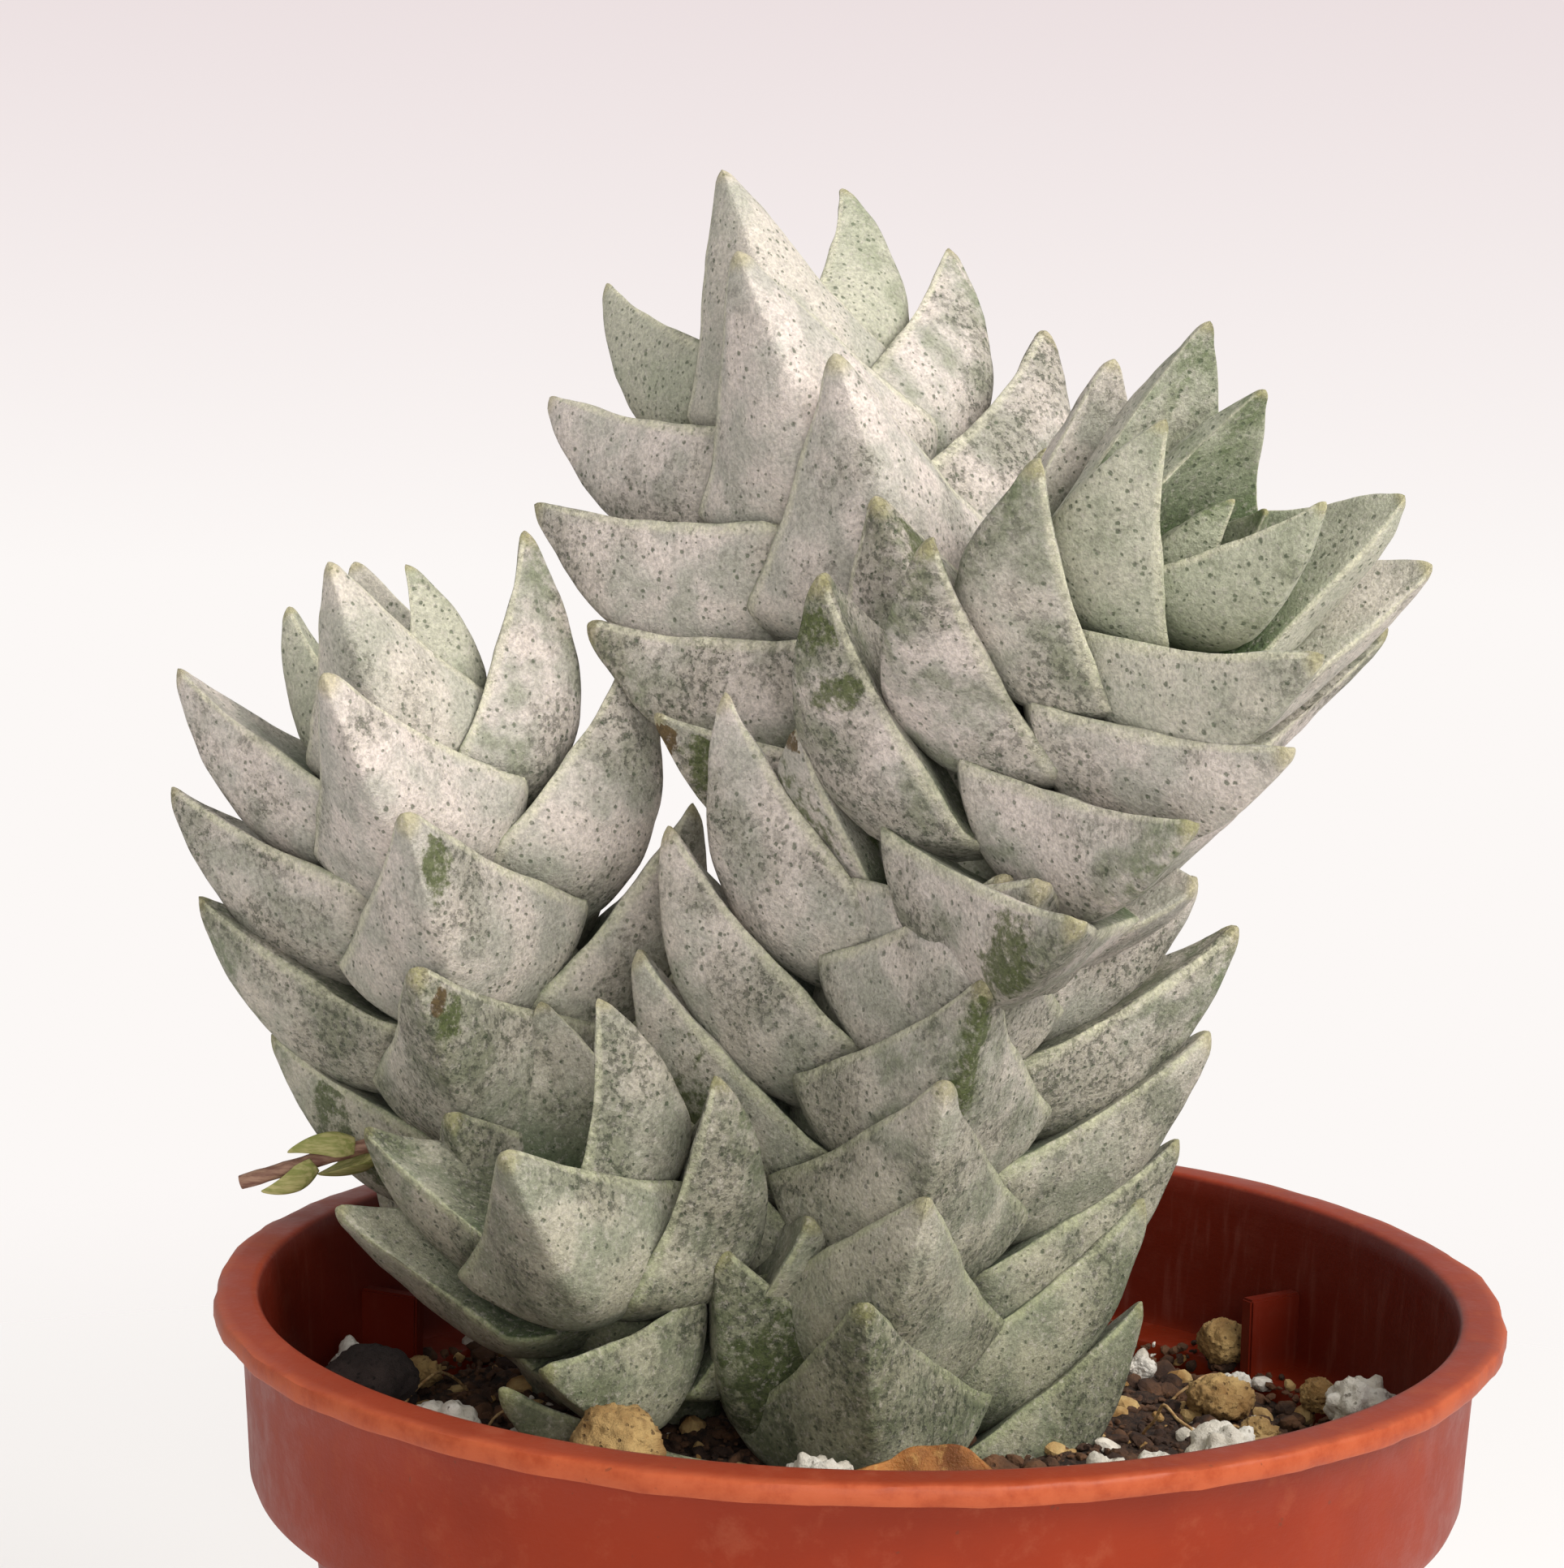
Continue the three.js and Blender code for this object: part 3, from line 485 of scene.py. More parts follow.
def leaf_measures(name):
    stem, axis = STEMS[name], axes[name]
    leaves = []
    distance = stem["start"]
    for pair in range(stem["pairs"]):
        share = pair / (stem["pairs"] - 1)
        for i, side in enumerate(("right", "left") if pair % 2 == 0 else ("front", "back")):
            seed = pair * 2 + i + stem["pairs"] * 7
            own = stem["own"].get(f"{side}{pair}", {})
            lean = own.get("lean", 0) + 2.5 * vary(seed)
            place, up, front, right = axis.frame(distance)
            turn = SIDES[side] + along(stem["turn"], share) + own.get("twist", 0) + 3 * vary(seed + 0.8)
            out = front * math.cos(math.radians(turn)) + right * math.sin(math.radians(turn))
            leaves.append(dict(
                number=pair * 2 + i,
                place=place * MM,
                out=out,
                across=np.cross(up, out),
                up=up,
                length=own.get("length", along(stem["length"], share) * (1 + 0.03 * vary(seed + 0.2))) * MM,
                width=own.get("width", along(stem["width"], share) * (1 + 0.04 * vary(seed + 0.4))) * MM,
                thickness=along(stem["thickness"], share) * MM,
                spread_base=math.radians(along(stem["spread_base"], share) + lean),
                spread_tip=math.radians(along(stem["spread_tip"], share) + lean),
                sway=0.4 * vary(seed + 0.6) * MM,
                age=share * stem.get("youth", 1.0),
                chance=0.5 + 0.5 * vary(seed + 0.9),
            ))
        distance += along(stem["gap"], share)
    return leaves


print("main stem's first leaf is", round(leaf_measures("main_stem")[0]["length"] / MM, 2), "mm long")

# %% [markdown]
# The leafy stem is a repeat along a path, so Geometry Nodes make it. One point stands for each leaf and
# carries its measures as attributes. The tree puts the unit leaf on each point, makes the copies real,
# and bends each one: its centre line is an arc that leaves the stem at the angle `spread_base`
# and ends at `spread_tip`.
# Last, a soft noise makes the skin a little uneven, because fat leaves are never perfectly even.

# %% Geometry nodes: leaves on a stem
VECTOR_MEASURES = ("place", "out", "across", "up")


def leaf_points(name, leaves):
    """One point for each leaf. It carries every measure of its leaf as an attribute."""
    points = mesh_object(name, [(0, 0, 0)] * len(leaves), [])
    for key in leaves[0]:
        kind = "FLOAT_VECTOR" if key in VECTOR_MEASURES else "FLOAT"
        point_attribute(points.data, key, [leaf[key] for leaf in leaves], kind)
    return points


def named(nodes, name, kind="FLOAT"):
    node = nodes.add("GeometryNodeInputNamedAttribute", {"Name": name}, data_type=kind)
    return next(s for s in node.outputs if s.enabled)


def tree_with_inputs(name, inputs):
    tree = bpy.data.node_groups.new(name, "GeometryNodeTree")
    tree.interface.new_socket("Geometry", in_out="INPUT", socket_type="NodeSocketGeometry")
    for label, (kind, default) in inputs.items():
        socket = tree.interface.new_socket(label, in_out="INPUT", socket_type=kind)
        if default is not None:
            socket.default_value = default
    tree.interface.new_socket("Geometry", in_out="OUTPUT", socket_type="NodeSocketGeometry")
    nodes = Nodes(tree)
    return tree, nodes, nodes.add("NodeGroupInput").outputs, nodes.add("NodeGroupOutput")


def leafy_stem_tree():
    inputs = {
        "Leaf": ("NodeSocketObject", None),
        "Unevenness": ("NodeSocketFloat", 0.00018),
        "Material": ("NodeSocketMaterial", None),
    }
    tree, n, given, out = tree_with_inputs("leafy stem", inputs)
    leaf = n.add("GeometryNodeObjectInfo", {"Object": given["Leaf"]}).outputs["Geometry"]
    real = n.copies(given["Geometry"], leaf)
    share = n.parts(named(n, "share", "FLOAT_VECTOR"))
    first, last = named(n, "spread_base"), named(n, "spread_tip")
    bend = n.minus(last, first)
    angle = n.math("MULTIPLY_ADD", bend, share["X"], first)
    reach = n.math("DIVIDE", named(n, "length"), bend)
    cosine, sine = n.math("COSINE", angle), n.math("SINE", angle)
    out_line = n.times(reach, n.minus(n.math("COSINE", first), cosine))
    up_line = n.times(reach, n.minus(sine, n.math("SINE", first)))
    above = n.times(share["Z"], named(n, "thickness"))
    half_width = n.times(named(n, "width"), 0.5)
    sway = n.times(named(n, "sway"), n.math("POWER", share["X"], 2.0))
    across = n.math("MULTIPLY_ADD", share["Y"], half_width, sway)
    outward = n.minus(out_line, n.times(cosine, above))
    upward = n.math("MULTIPLY_ADD", sine, above, up_line)
    place = named(n, "place", "FLOAT_VECTOR")
    for direction, distance in (("out", outward), ("across", across), ("up", upward)):
        place = n.vector("ADD", place, n.scaled(named(n, direction, "FLOAT_VECTOR"), distance))
    bent = n.add("GeometryNodeSetPosition", {"Geometry": real, "Position": place}).outputs[0]
    seeded = n.vector("ADD", n.millimetres(),
                      n.scaled(named(n, "out", "FLOAT_VECTOR"), n.times(named(n, "chance"), 37.0)))
    swell = n.minus(n.noise(seeded, 0.22, 2.5, 0.45), 0.5)
    push = n.times(swell, n.times(given["Unevenness"], 4.0))
    uneven = n.moved(bent, n.scaled(n.outward(), push))
    n.feed(out.inputs[0], n.dressed(uneven, given["Material"]))
    return tree


def run_tree(name, source, tree, values):
    """Adds the tree to the source object, sets its inputs by identifier and gives the plain result."""
    modifier = source.modifiers.new(tree.name, "NODES")
    modifier.node_group = tree
    for item in tree.interface.items_tree:
        if item.in_out == "INPUT" and item.name in values:
            modifier[item.identifier] = values[item.name]
    bpy.context.view_layer.update()
    return as_plain_mesh(source, name)


stem_tree = leafy_stem_tree()
print("tree:", stem_tree.name, "with", len(stem_tree.nodes), "nodes")

# %% [markdown]
# The skin of a leaf is dull green under a mealy, whitish bloom. Three things show through the bloom:
# rows of small dark dots, grey-green mottling where old leaves have weathered, and green where
# the leaf is young, near its base, or has been rubbed. The margin is a thin pale line.
# The dots are the cells of a cell texture. Three shader groups hold the dots, the mottling and the stains.

# %% Shader groups for the leaf skin


def shader_group(name, inputs, outputs):
    tree = bpy.data.node_groups.new(name, "ShaderNodeTree")
    for label, (kind, default) in inputs.items():
        socket = tree.interface.new_socket(label, in_out="INPUT", socket_type=kind)
        if default is not None:
            socket.default_value = default
    for label in outputs:
        tree.interface.new_socket(label, in_out="OUTPUT", socket_type="NodeSocketFloat")
    nodes = Nodes(tree)
    return tree, nodes, nodes.add("NodeGroupInput").outputs, nodes.add("NodeGroupOutput").inputs


def dots_group():
    """Small dark dots with wavy outlines: texture cells on slightly warped coordinates."""
    inputs = {
        "Place": ("NodeSocketVector", None),
        "Spacing": ("NodeSocketFloat", 0.62),
        "Size": ("NodeSocketFloat", 0.2),
        "Share": ("NodeSocketFloat", 0.6),
    }
    tree, n, given, out = shader_group("leaf dots", inputs, ["Mask"])
    scale = n.math("DIVIDE", 1.0, given["Spacing"])
    warp = n.vector("SUBTRACT", n.noise(given["Place"], 5.0, 2.0, 0.6, colour=True), (0.5, 0.5, 0.5))
    warped = n.vector("ADD", given["Place"], n.scaled(warp, 0.2))
    cells = n.add("ShaderNodeTexVoronoi", {"Vector": warped, "Scale": scale, "Randomness": 0.85})
    chance = n.add("ShaderNodeSeparateColor", {0: cells.outputs["Color"]}).outputs
    size = n.times(given["Size"], n.math("MULTIPLY_ADD", chance["Red"], 0.9, 0.6))
    spot = n.between(cells.outputs["Distance"], size, n.times(size, 0.5))
    shown = n.between(n.minus(given["Share"], chance["Green"]), -0.05, 0.1)
    n.feed(out["Mask"], n.times(spot, shown))
    return tree


def mottle_group():
    inputs = {"Place": ("NodeSocketVector", None), "Scale": ("NodeSocketFloat", 0.5)}
    tree, n, given, out = shader_group("mottling", inputs, ["Coarse", "Fine", "Grain"])
    place, scale = given["Place"], given["Scale"]
    n.feed(out["Coarse"], n.noise(place, scale, 3.0, 0.55))
    n.feed(out["Fine"], n.noise(place, n.times(scale, 3.2), 6.0, 0.68))
    n.feed(out["Grain"], n.noise(place, n.times(scale, 16.0), 3.0, 0.7))
    return tree


def stains_group():
    """Old stains: soft patches, and inside them ragged flecks and hair cracks."""
    inputs = {"Place": ("NodeSocketVector", None), "Amount": ("NodeSocketFloat", 0.5)}
    tree, n, given, out = shader_group("stains", inputs, ["Patch", "Fleck", "Crack"])
    place = given["Place"]
    patch = n.plus(n.noise(place, 0.16, 4.0, 0.6), n.times(given["Amount"], 0.14))
    shown = n.between(patch, 0.48, 0.7)
    flecks = n.noise(place, 2.2, 7.0, 0.74)
    warped = n.vector("ADD", place, n.scaled(n.noise(place, 1.1, 4.0, 0.7, colour=True), 1.8))
    cells = n.add("ShaderNodeTexVoronoi", {"Vector": warped, "Scale": 0.8}, feature="DISTANCE_TO_EDGE")
    crack = n.between(cells.outputs["Distance"], 0.06, 0.0)
    n.feed(out["Patch"], shown)
    thick = n.math("MULTIPLY_ADD", shown, 0.75, 0.25)
    n.feed(out["Fleck"], n.times(n.between(flecks, 0.51, 0.6), thick))
    n.feed(out["Crack"], n.times(crack, n.times(shown, n.between(flecks, 0.44, 0.56))))
    return tree


DOTS = dots_group()
MOTTLE = mottle_group()
STAINS = stains_group()


def group_node(nodes, tree, inputs):
    node = nodes.add("ShaderNodeGroup", node_tree=tree)
    for name, value in inputs.items():
        nodes.feed(node.inputs[name], value)
    return node.outputs


print("groups:", DOTS.name, "-", MOTTLE.name, "-", STAINS.name)

# %% [markdown]
# The skin is built up in the order in which it came about: bloom over green flesh, stains, dots,
# the horny margin, then rubbed marks. Each step is a function that takes the colour so far
# and gives the next one, so that a step can be read or left out by itself.

# %% The leaf skin
BLOOM = srgb(222, 210, 201)
BLOOM_COOL = srgb(193, 188, 178)
BLOOM_YOUNG = srgb(182, 184, 160)
# painted shade: the deep green that darkens the hidden top faces near the leaf base
FLESH = srgb(96, 112, 66)
PAINTED_SHADE_GREEN = srgb(62, 88, 40)
STAIN = srgb(134, 130, 112)
FLECK = srgb(92, 92, 78)
DOT = srgb(74, 88, 62)
MARGIN = srgb(214, 210, 184)
RUBBED = srgb(80, 92, 38)
SCURF = srgb(212, 202, 194)
WOUND = srgb(100, 82, 52)
TIP = srgb(178, 168, 122)
# painted shade, multiplied into the leaves low on the plant
LOW_LEAF_PAINTED_SHADE = (0.5, 0.56, 0.42, 1.0)


def leaf_values(n, place):
    """What all steps of the skin share: where a point is on its leaf, the leaf's age and its own noises."""
    age, chance = n.attribute("age"), n.attribute("chance")
    share = n.parts(n.attribute("share", "Vector"))
    own_place = n.vector("ADD", place, n.scaled(n.attribute("out", "Vector"), n.times(chance, 90.0)))
    return dict(
        chance=chance,
        ahead=share["X"],
        across=share["Y"],
        place=own_place,
        mottle=group_node(n, MOTTLE, {"Place": own_place, "Scale": 0.3}),
        young=n.between(age, 0.72, 1.0),
        old=n.between(age, 1.0, 0.6),
        near_base=n.between(share["X"], 0.45, 0.1),
        near_tip=n.between(share["X"], 0.7, 0.98),
    )


def bloom_colour(n, leaf):
    """The mealy bloom, the green where it is thin (patches, base, tip, keel), and painted shade on the
    hidden tops.
    """
    coarse, fine, chance = leaf["mottle"]["Coarse"], leaf["mottle"]["Fine"], leaf["chance"]
    colour = n.mix(n.between(coarse, 0.38, 0.62), BLOOM, BLOOM_COOL)
    colour = n.mix(leaf["young"], colour, BLOOM_YOUNG)
    wash = n.times(n.between(coarse, 0.48, 0.7), n.between(chance, 0.1, 0.9, 0.15, 0.8))
    flush = n.times(leaf["near_tip"], n.between(chance, 0.4, 0.95, 0.0, 0.75))
    flush = n.times(flush, n.between(fine, 0.35, 0.6, 0.3, 1.0))
    green = n.math("MAXIMUM", wash, n.times(leaf["near_base"], 0.65))
    green = n.math("MAXIMUM", green, flush)
    colour = n.mix(n.times(green, 0.74), colour, FLESH)
    keel = n.between(n.math("ABSOLUTE", leaf["across"]), 0.3, 0.03)
    keel = n.times(keel, n.between(leaf["ahead"], 0.45, 0.8))
    keel = n.times(keel, n.between(fine, 0.4, 0.6))
    keel = n.times(keel, n.between(chance, 0.25, 0.9, 0.0, 0.75))
    colour = n.mix(keel, colour, FLESH)
    # painted shade: the top faces near the base, hidden between the pressed leaves, go deep green
    shade = n.times(n.attribute("topside"), n.between(leaf["ahead"], 0.8, 0.25, 0.15, 0.92))
    return n.mix(shade, colour, PAINTED_SHADE_GREEN)


def with_stains(n, leaf, colour):
    amount = n.minus(n.math("MULTIPLY_ADD", leaf["old"], 0.8, leaf["chance"]), 0.8)
    stains = group_node(n, STAINS, {"Place": leaf["place"], "Amount": amount})
    wear = n.math("MULTIPLY_ADD", leaf["old"], 0.5, 0.35)
    for part, strength, tone in (("Patch", 0.6, STAIN), ("Fleck", 0.85, FLECK), ("Crack", 0.75, DOT)):
        colour = n.mix(n.times(stains[part], n.times(wear, strength)), colour, tone)
    return colour, stains


def with_dots(n, leaf, colour):
    presence = n.math("MULTIPLY_ADD", leaf["young"], 0.35, 0.8)
    presence = n.plus(presence, n.times(leaf["near_base"], 0.35))
    presence = n.minus(presence, n.between(leaf["mottle"]["Coarse"], 0.4, 0.6, 0.0, 0.45))
    presence = n.minus(presence, n.times(leaf["near_tip"], 0.35))
    values = {"Place": leaf["place"], "Share": presence, "Size": 0.27, "Spacing": 0.42}
    dots = group_node(n, DOTS, values)["Mask"]
    return n.mix(n.times(dots, 0.72), colour, DOT), dots


def with_edges_and_marks(n, leaf, colour):
    """The horny tip, the pale margin line, and the rubbed and wounded spots with frayed outlines."""
    colour = n.mix(n.times(n.between(leaf["ahead"], 0.94, 0.99), 0.6), colour, TIP)
    line = n.between(n.attribute("margin"), 0.55, 0.9)
    broken = n.between(leaf["mottle"]["Fine"], 0.35, 0.6, 0.85, 0.4)
    colour = n.mix(n.times(line, broken), colour, MARGIN)
    frayed = n.minus(n.noise(leaf["place"], 1.3, 6.0, 0.68), 0.5)
    ragged = n.math("MULTIPLY_ADD", frayed, 2.4, n.attribute("rubbed"))
    colour = n.mix(n.times(n.between(ragged, 0.45, 0.9), 0.85), colour, RUBBED)
    sore = n.math("MULTIPLY_ADD", frayed, 1.6, n.attribute("wound"))
    return n.mix(n.between(sore, 0.45, 0.7), colour, WOUND)


def with_painted_shade_and_grain(n, leaf, colour, place):
    """Painted shade: leaves low on the plant are darker. Pale scurf and a fine grain lie over everything."""
    # painted shade: the lower a leaf stands, the darker it gets, fully below 48 mm
    colour = n.mix(n.between(n.parts(place)["Z"], 84.0, 48.0), colour, LOW_LEAF_PAINTED_SHADE, blend="MULTIPLY")
    scurf = n.between(n.noise(leaf["place"], 2.9, 6.0, 0.72), 0.52, 0.64)
    colour = n.mix(n.times(scurf, 0.3), colour, SCURF)
    grain = n.between(leaf["mottle"]["Grain"], 0.32, 0.68, 0.76, 1.12)
    grey = n.add("ShaderNodeCombineColor", {0: grain, 1: grain, 2: grain}).outputs[0]
    return n.mix(1.0, colour, grey, blend="MULTIPLY")


def leaf_material():
    material, n, shader, place = new_material(
        "mealy leaf", 0.72, Subsurface_Weight=0.08, Sheen_Weight=0.06, Sheen_Roughness=0.6)
    shader.inputs["Subsurface Radius"].default_value = (0.9, 1.0, 0.5)
    shader.inputs["Subsurface Scale"].default_value = 0.6 * MM
    shader.inputs["Specular IOR Level"].default_value = 0.3
    leaf = leaf_values(n, place)
    colour = bloom_colour(n, leaf)
    colour, stains = with_stains(n, leaf, colour)
    colour, dots = with_dots(n, leaf, colour)
    colour = with_edges_and_marks(n, leaf, colour)
    n.feed(shader.inputs["Base Color"], with_painted_shade_and_grain(n, leaf, colour, place))
    n.feed(shader.inputs["Roughness"], n.between(stains["Patch"], 0.0, 1.0, 0.66, 0.8))
    height = n.math("MULTIPLY_ADD", leaf["mottle"]["Grain"], 0.9, n.times(leaf["mottle"]["Fine"], 0.9))
    height = n.minus(height, n.times(dots, 0.35))
    height = n.minus(height, n.times(stains["Fleck"], 0.25))
    bump(n, shader, height, 1.0, 0.12)
    return material


LEAF_SKIN = leaf_material()
print("leaf skin:", len(LEAF_SKIN.node_tree.nodes), "nodes")

# %% [markdown]
# A few leaves carry marks. Where a finger or another leaf has rubbed the bloom off, olive green shows.
# Each mark is an oval on one leaf, given by the share along the leaf, the share across, its two radii,
# and whether it is only rubbed or also a dry brown wound. The skin's noise then frays its edge.

# %% Marks on single leaves
MARKS = {
    "left_stem": [
        ("front1", 0.6, 0.1, 0.1, 0.16, "rubbed"), ("front3", 0.84, 0.12, 0.05, 0.1, "rubbed"),
        ("front3", 0.9, 0.1, 0.02, 0.07, "wound"), ("front5", 0.86, 0.12, 0.06, 0.1, "rubbed"),
        ("left2", 0.5, 0.4, 0.16, 0.08, "rubbed"), ("left2", 0.7, 0.4, 0.05, 0.3, "rubbed"),
    ],
    "top_branch": [
        ("front3", 0.85, 0.2, 0.12, 0.12, "rubbed"), ("front3", 0.55, -0.35, 0.08, 0.12, "rubbed"),
        ("left2", 0.95, 0.0, 0.04, 0.5, "wound"), ("left2", 0.78, 0.3, 0.1, 0.25, "rubbed"),
    ],
    "main_stem": [
        ("left14", 0.88, 0.1, 0.05, 0.2, "rubbed"), ("left14", 0.72, 0.3, 0.04, 0.12, "rubbed"),
        ("left12", 0.96, 0.0, 0.04, 0.6, "wound"), ("left12", 0.5, 0.0, 0.3, 0.5, "rubbed"),
        ("front13", 0.74, -0.15, 0.1, 0.16, "rubbed"), ("left2", 0.45, 0.3, 0.3, 0.35, "rubbed"),
        ("front7", 0.8, 0.0, 0.2, 0.09, "rubbed"), ("left6", 0.4, 0.3, 0.25, 0.2, "rubbed"),
    ],
}


def leaf_number(label):
    side = label.rstrip("0123456789")
    return int(label[len(side):]) * 2 + (1 if side in ("left", "back") else 0)


def paint_marks(mesh, marks):
    count = len(mesh.vertices)
    number = np.zeros(count, np.float32)
    mesh.attributes["number"].data.foreach_get("value", number)
    share = np.zeros(count * 3, np.float32)
    mesh.attributes["share"].data.foreach_get("vector", share)
    share = share.reshape(-1, 3)
    painted = {"rubbed": np.zeros(count), "wound": np.zeros(count)}
    for label, u, q, long_radius, wide_radius, kind in marks:
        own = np.abs(number - leaf_number(label)) < 0.5
        below = share[:, 2] < -0.05
        far = np.hypot((share[:, 0] - u) / long_radius, (share[:, 1] - q) / wide_radius)
        painted[kind] = np.maximum(painted[kind], own * below * np.clip(1.4 - far * 0.75, 0, 1))
    for kind, values in painted.items():
        point_attribute(mesh, kind, values)


print("marks:", sum(len(marks) for marks in MARKS.values()))

# %% [markdown]
# The stem itself hardly shows, because the leaf bases cover it. It is a tapering rod under the leaves,
# with a bare woody foot that goes down into the mix. A curve with a round bevel and a radius at each point
# gives such a rod in a few lines.

# %% Rods from curves


def rod(name, points, radii, material, sides):
    """A smooth round rod through the points, in millimetres, with a radius at each, as a mesh."""
    data = bpy.data.curves.new(name, "CURVE")
    data.dimensions = "3D"
    data.bevel_depth = MM
    data.bevel_resolution = sides
    data.use_fill_caps = True
    spline = data.splines.new("POLY")
    spline.points.add(len(points) - 1)
    for point, place, radius in zip(spline.points, points, radii):
        point.co = (*(c * MM for c in place), 1)
        point.radius = radius
    data.materials.append(material)
    thing = bpy.data.objects.new(name, data)
    bpy.context.scene.collection.objects.link(thing)
    rod_mesh = as_plain_mesh(thing, name)
    shade_smooth(rod_mesh)
    return rod_mesh


def joined(name, things):
    """Joins mesh objects into one. Their materials are kept."""
    main = things[0]
    with bpy.context.temp_override(active_object=main, selected_editable_objects=things):
        bpy.ops.object.join()
    main.name = name
    main.data.name = name
    return main


def woody_material():
    material, n, shader, place = new_material("woody stem", 0.8)
    bark = n.noise(n.vector("MULTIPLY", place, (1.0, 1.0, 0.3)), 1.6, 5.0, 0.6)
    colour = n.mix(n.between(bark, 0.35, 0.7), srgb(86, 66, 46), srgb(142, 122, 88))
    n.feed(shader.inputs["Base Color"], colour)
    bump(n, shader, bark, 0.8, 0.3)
    return material


WOOD = woody_material()


def stem_core(name):
    stem, axis = STEMS[name], axes[name]
    distances = np.linspace(0, axis.length, 24)
    points = [axis.frame(d)[0] for d in distances]
    radii = [along(stem["core"], d / axis.length) for d in distances]
    core = rod(name + "_core", points, radii, LEAF_SKIN, sides=6)
    if not stem["foot"]:
        return [core]
    top, start = axis.frame(6)[0], axis.frame(0)[0]
    foot = [start - (0, 0, 9), start, top]
    return [core, rod(name + "_foot", foot, [stem["foot"]] * 3, WOOD, sides=8)]


# %% [markdown]
# Now each stem is put together: the points with the leaves' measures, the tree that turns them
# into leaves, the marks, and the rod in the middle.

# %% Build the four leafy stems


def leafy_stem(name):
    points = leaf_points(name + "_points", leaf_measures(name))
    foliage = run_tree(name, points, stem_tree, {"Leaf": leaf_model, "Material": LEAF_SKIN})
    shade_smooth(foliage)
    paint_marks(foliage.data, MARKS.get(name, []))
    fit(joined(name + "_leaves", [foliage] + stem_core(name)), "leaves", name)


for name in STEMS:
    leafy_stem(name)
bpy.data.objects.remove(leaf_model)
print("leafy stems:", len(STEMS))

# %% [markdown]
# The pot is a thin injection-moulded nursery pot. It is turned from its profile like a vase on a wheel:
# a flat base, a tapered body, a step, a tall band and a flat lip. Real lips show a little flash,
# a thin uneven edge where the mould halves met, so the outermost points wander slightly.
# The profile gives radius and height in millimetres. The lip's points also say how much they wander.

# %% The pot's shell
POT_SEGMENTS = 224
LEDGE = 47.0
OUTSIDE = [
    (0, 0), (21.2, 0), (21.7, 0.15), (22.0, 0.6), (22.6, 5.0), (23.9, 16.0), (25.2, 26.0), (26.4, 36.0),
    (27.55, 44.6), (27.75, 45.5), (28.4, 45.85), (29.7, 46.15), (30.35, 46.5), (30.58, 47.1), (30.7, 49.4),
    (30.85, 52.0), (31.05, 54.6), (31.2, 54.85),
]
LIP = [
    (32.1, 54.95, 0.3), (32.4, 55.0, 1), (32.48, 55.15, 1), (32.48, 55.7, 1), (32.4, 55.88, 1),
    (32.2, 55.95, 0.6), (31.7, 55.97, 0.1),
]
INSIDE = [
    (30.6, 56.0), (30.3, 55.95), (30.12, 55.75), (29.98, 54.8), (29.75, 51.0), (29.55, 47.5), (29.4, 47.1),
    (29.0, 47.0), (27.1, 47.0), (26.75, 46.85), (26.55, 46.4), (25.3, 36.0), (24.1, 26.0), (22.8, 16.0),
    (21.5, 5.0), (21.1, 2.0), (20.6, 1.45), (0, 1.4),
]
PROFILE = [(r, z, 0) for r, z in OUTSIDE] + LIP + [(r, z, 0) for r, z in INSIDE]
LUG_ANGLES = (35, 155, 275)
LUG_SIZE, LUG_REACH = (3.6, 0.9, 4.6), 28.0
DRAIN_HOLES, DRAIN_RING, DRAIN_RADIUS = 6, 15.5, 2.6
SHARP_EDGE = math.radians(40)


def pot_shell(material):
    ring_points = PROFILE[1:-1]
    vertices, faces, flash_values = [(0, 0, 0)], [], [0.0]
    for r, z, flash in ring_points:
        for j in range(POT_SEGMENTS):
            a = 2 * math.pi * j / POT_SEGMENTS
            wander = 0.055 * math.sin(7 * a + 1) + 0.05 * math.sin(17 * a) + 0.045 * math.sin(41 * a + 2)
            rough = 0.03 * vary(j * 1.7 + r) + 0.03 * vary(j // 3 + 0.3)
            reach = r + flash * (wander + rough - 0.12)
            lift = flash * (0.03 * math.sin(11 * a) + 0.02 * vary(j + 0.5) - 0.03)
            vertices.append((math.cos(a) * reach * MM, math.sin(a) * reach * MM, (z + lift) * MM))
            flash_values.append(flash)
    vertices.append((0, 0, PROFILE[-1][1] * MM))
    flash_values.append(0.0)
    for j in range(POT_SEGMENTS):
        k = (j + 1) % POT_SEGMENTS
        faces.append((0, 1 + k, 1 + j))
        for i in range(len(ring_points) - 1):
            a = 1 + i * POT_SEGMENTS
            b = a + POT_SEGMENTS
            faces.append((a + j, a + k, b + k, b + j))
        top = 1 + (len(ring_points) - 1) * POT_SEGMENTS
        faces.append((top + j, top + k, len(vertices) - 1))
    shell = mesh_object("pot_shell", vertices, faces, material)
    point_attribute(shell.data, "flash", flash_values)
    return shell


def box_mesh(name, size, place, turn, material, bevel):
    mesh = bpy.data.meshes.new(name)
    shape = bmesh.new()
    bmesh.ops.create_cube(shape, size=1)
    bmesh.ops.scale(shape, vec=[s * MM for s in size], verts=shape.verts)
    bmesh.ops.bevel(shape, geom=shape.edges[:], offset=bevel * MM, segments=2, affect="EDGES")
    bmesh.ops.translate(shape, vec=[p * MM for p in place], verts=shape.verts)
    bmesh.ops.rotate(shape, cent=(0, 0, 0), matrix=Matrix.Rotation(turn, 3, "Z"), verts=shape.verts)
    shape.to_mesh(mesh)
    shape.free()
    mesh.materials.append(material)
    thing = bpy.data.objects.new(name, mesh)
    bpy.context.scene.collection.objects.link(thing)
    return thing


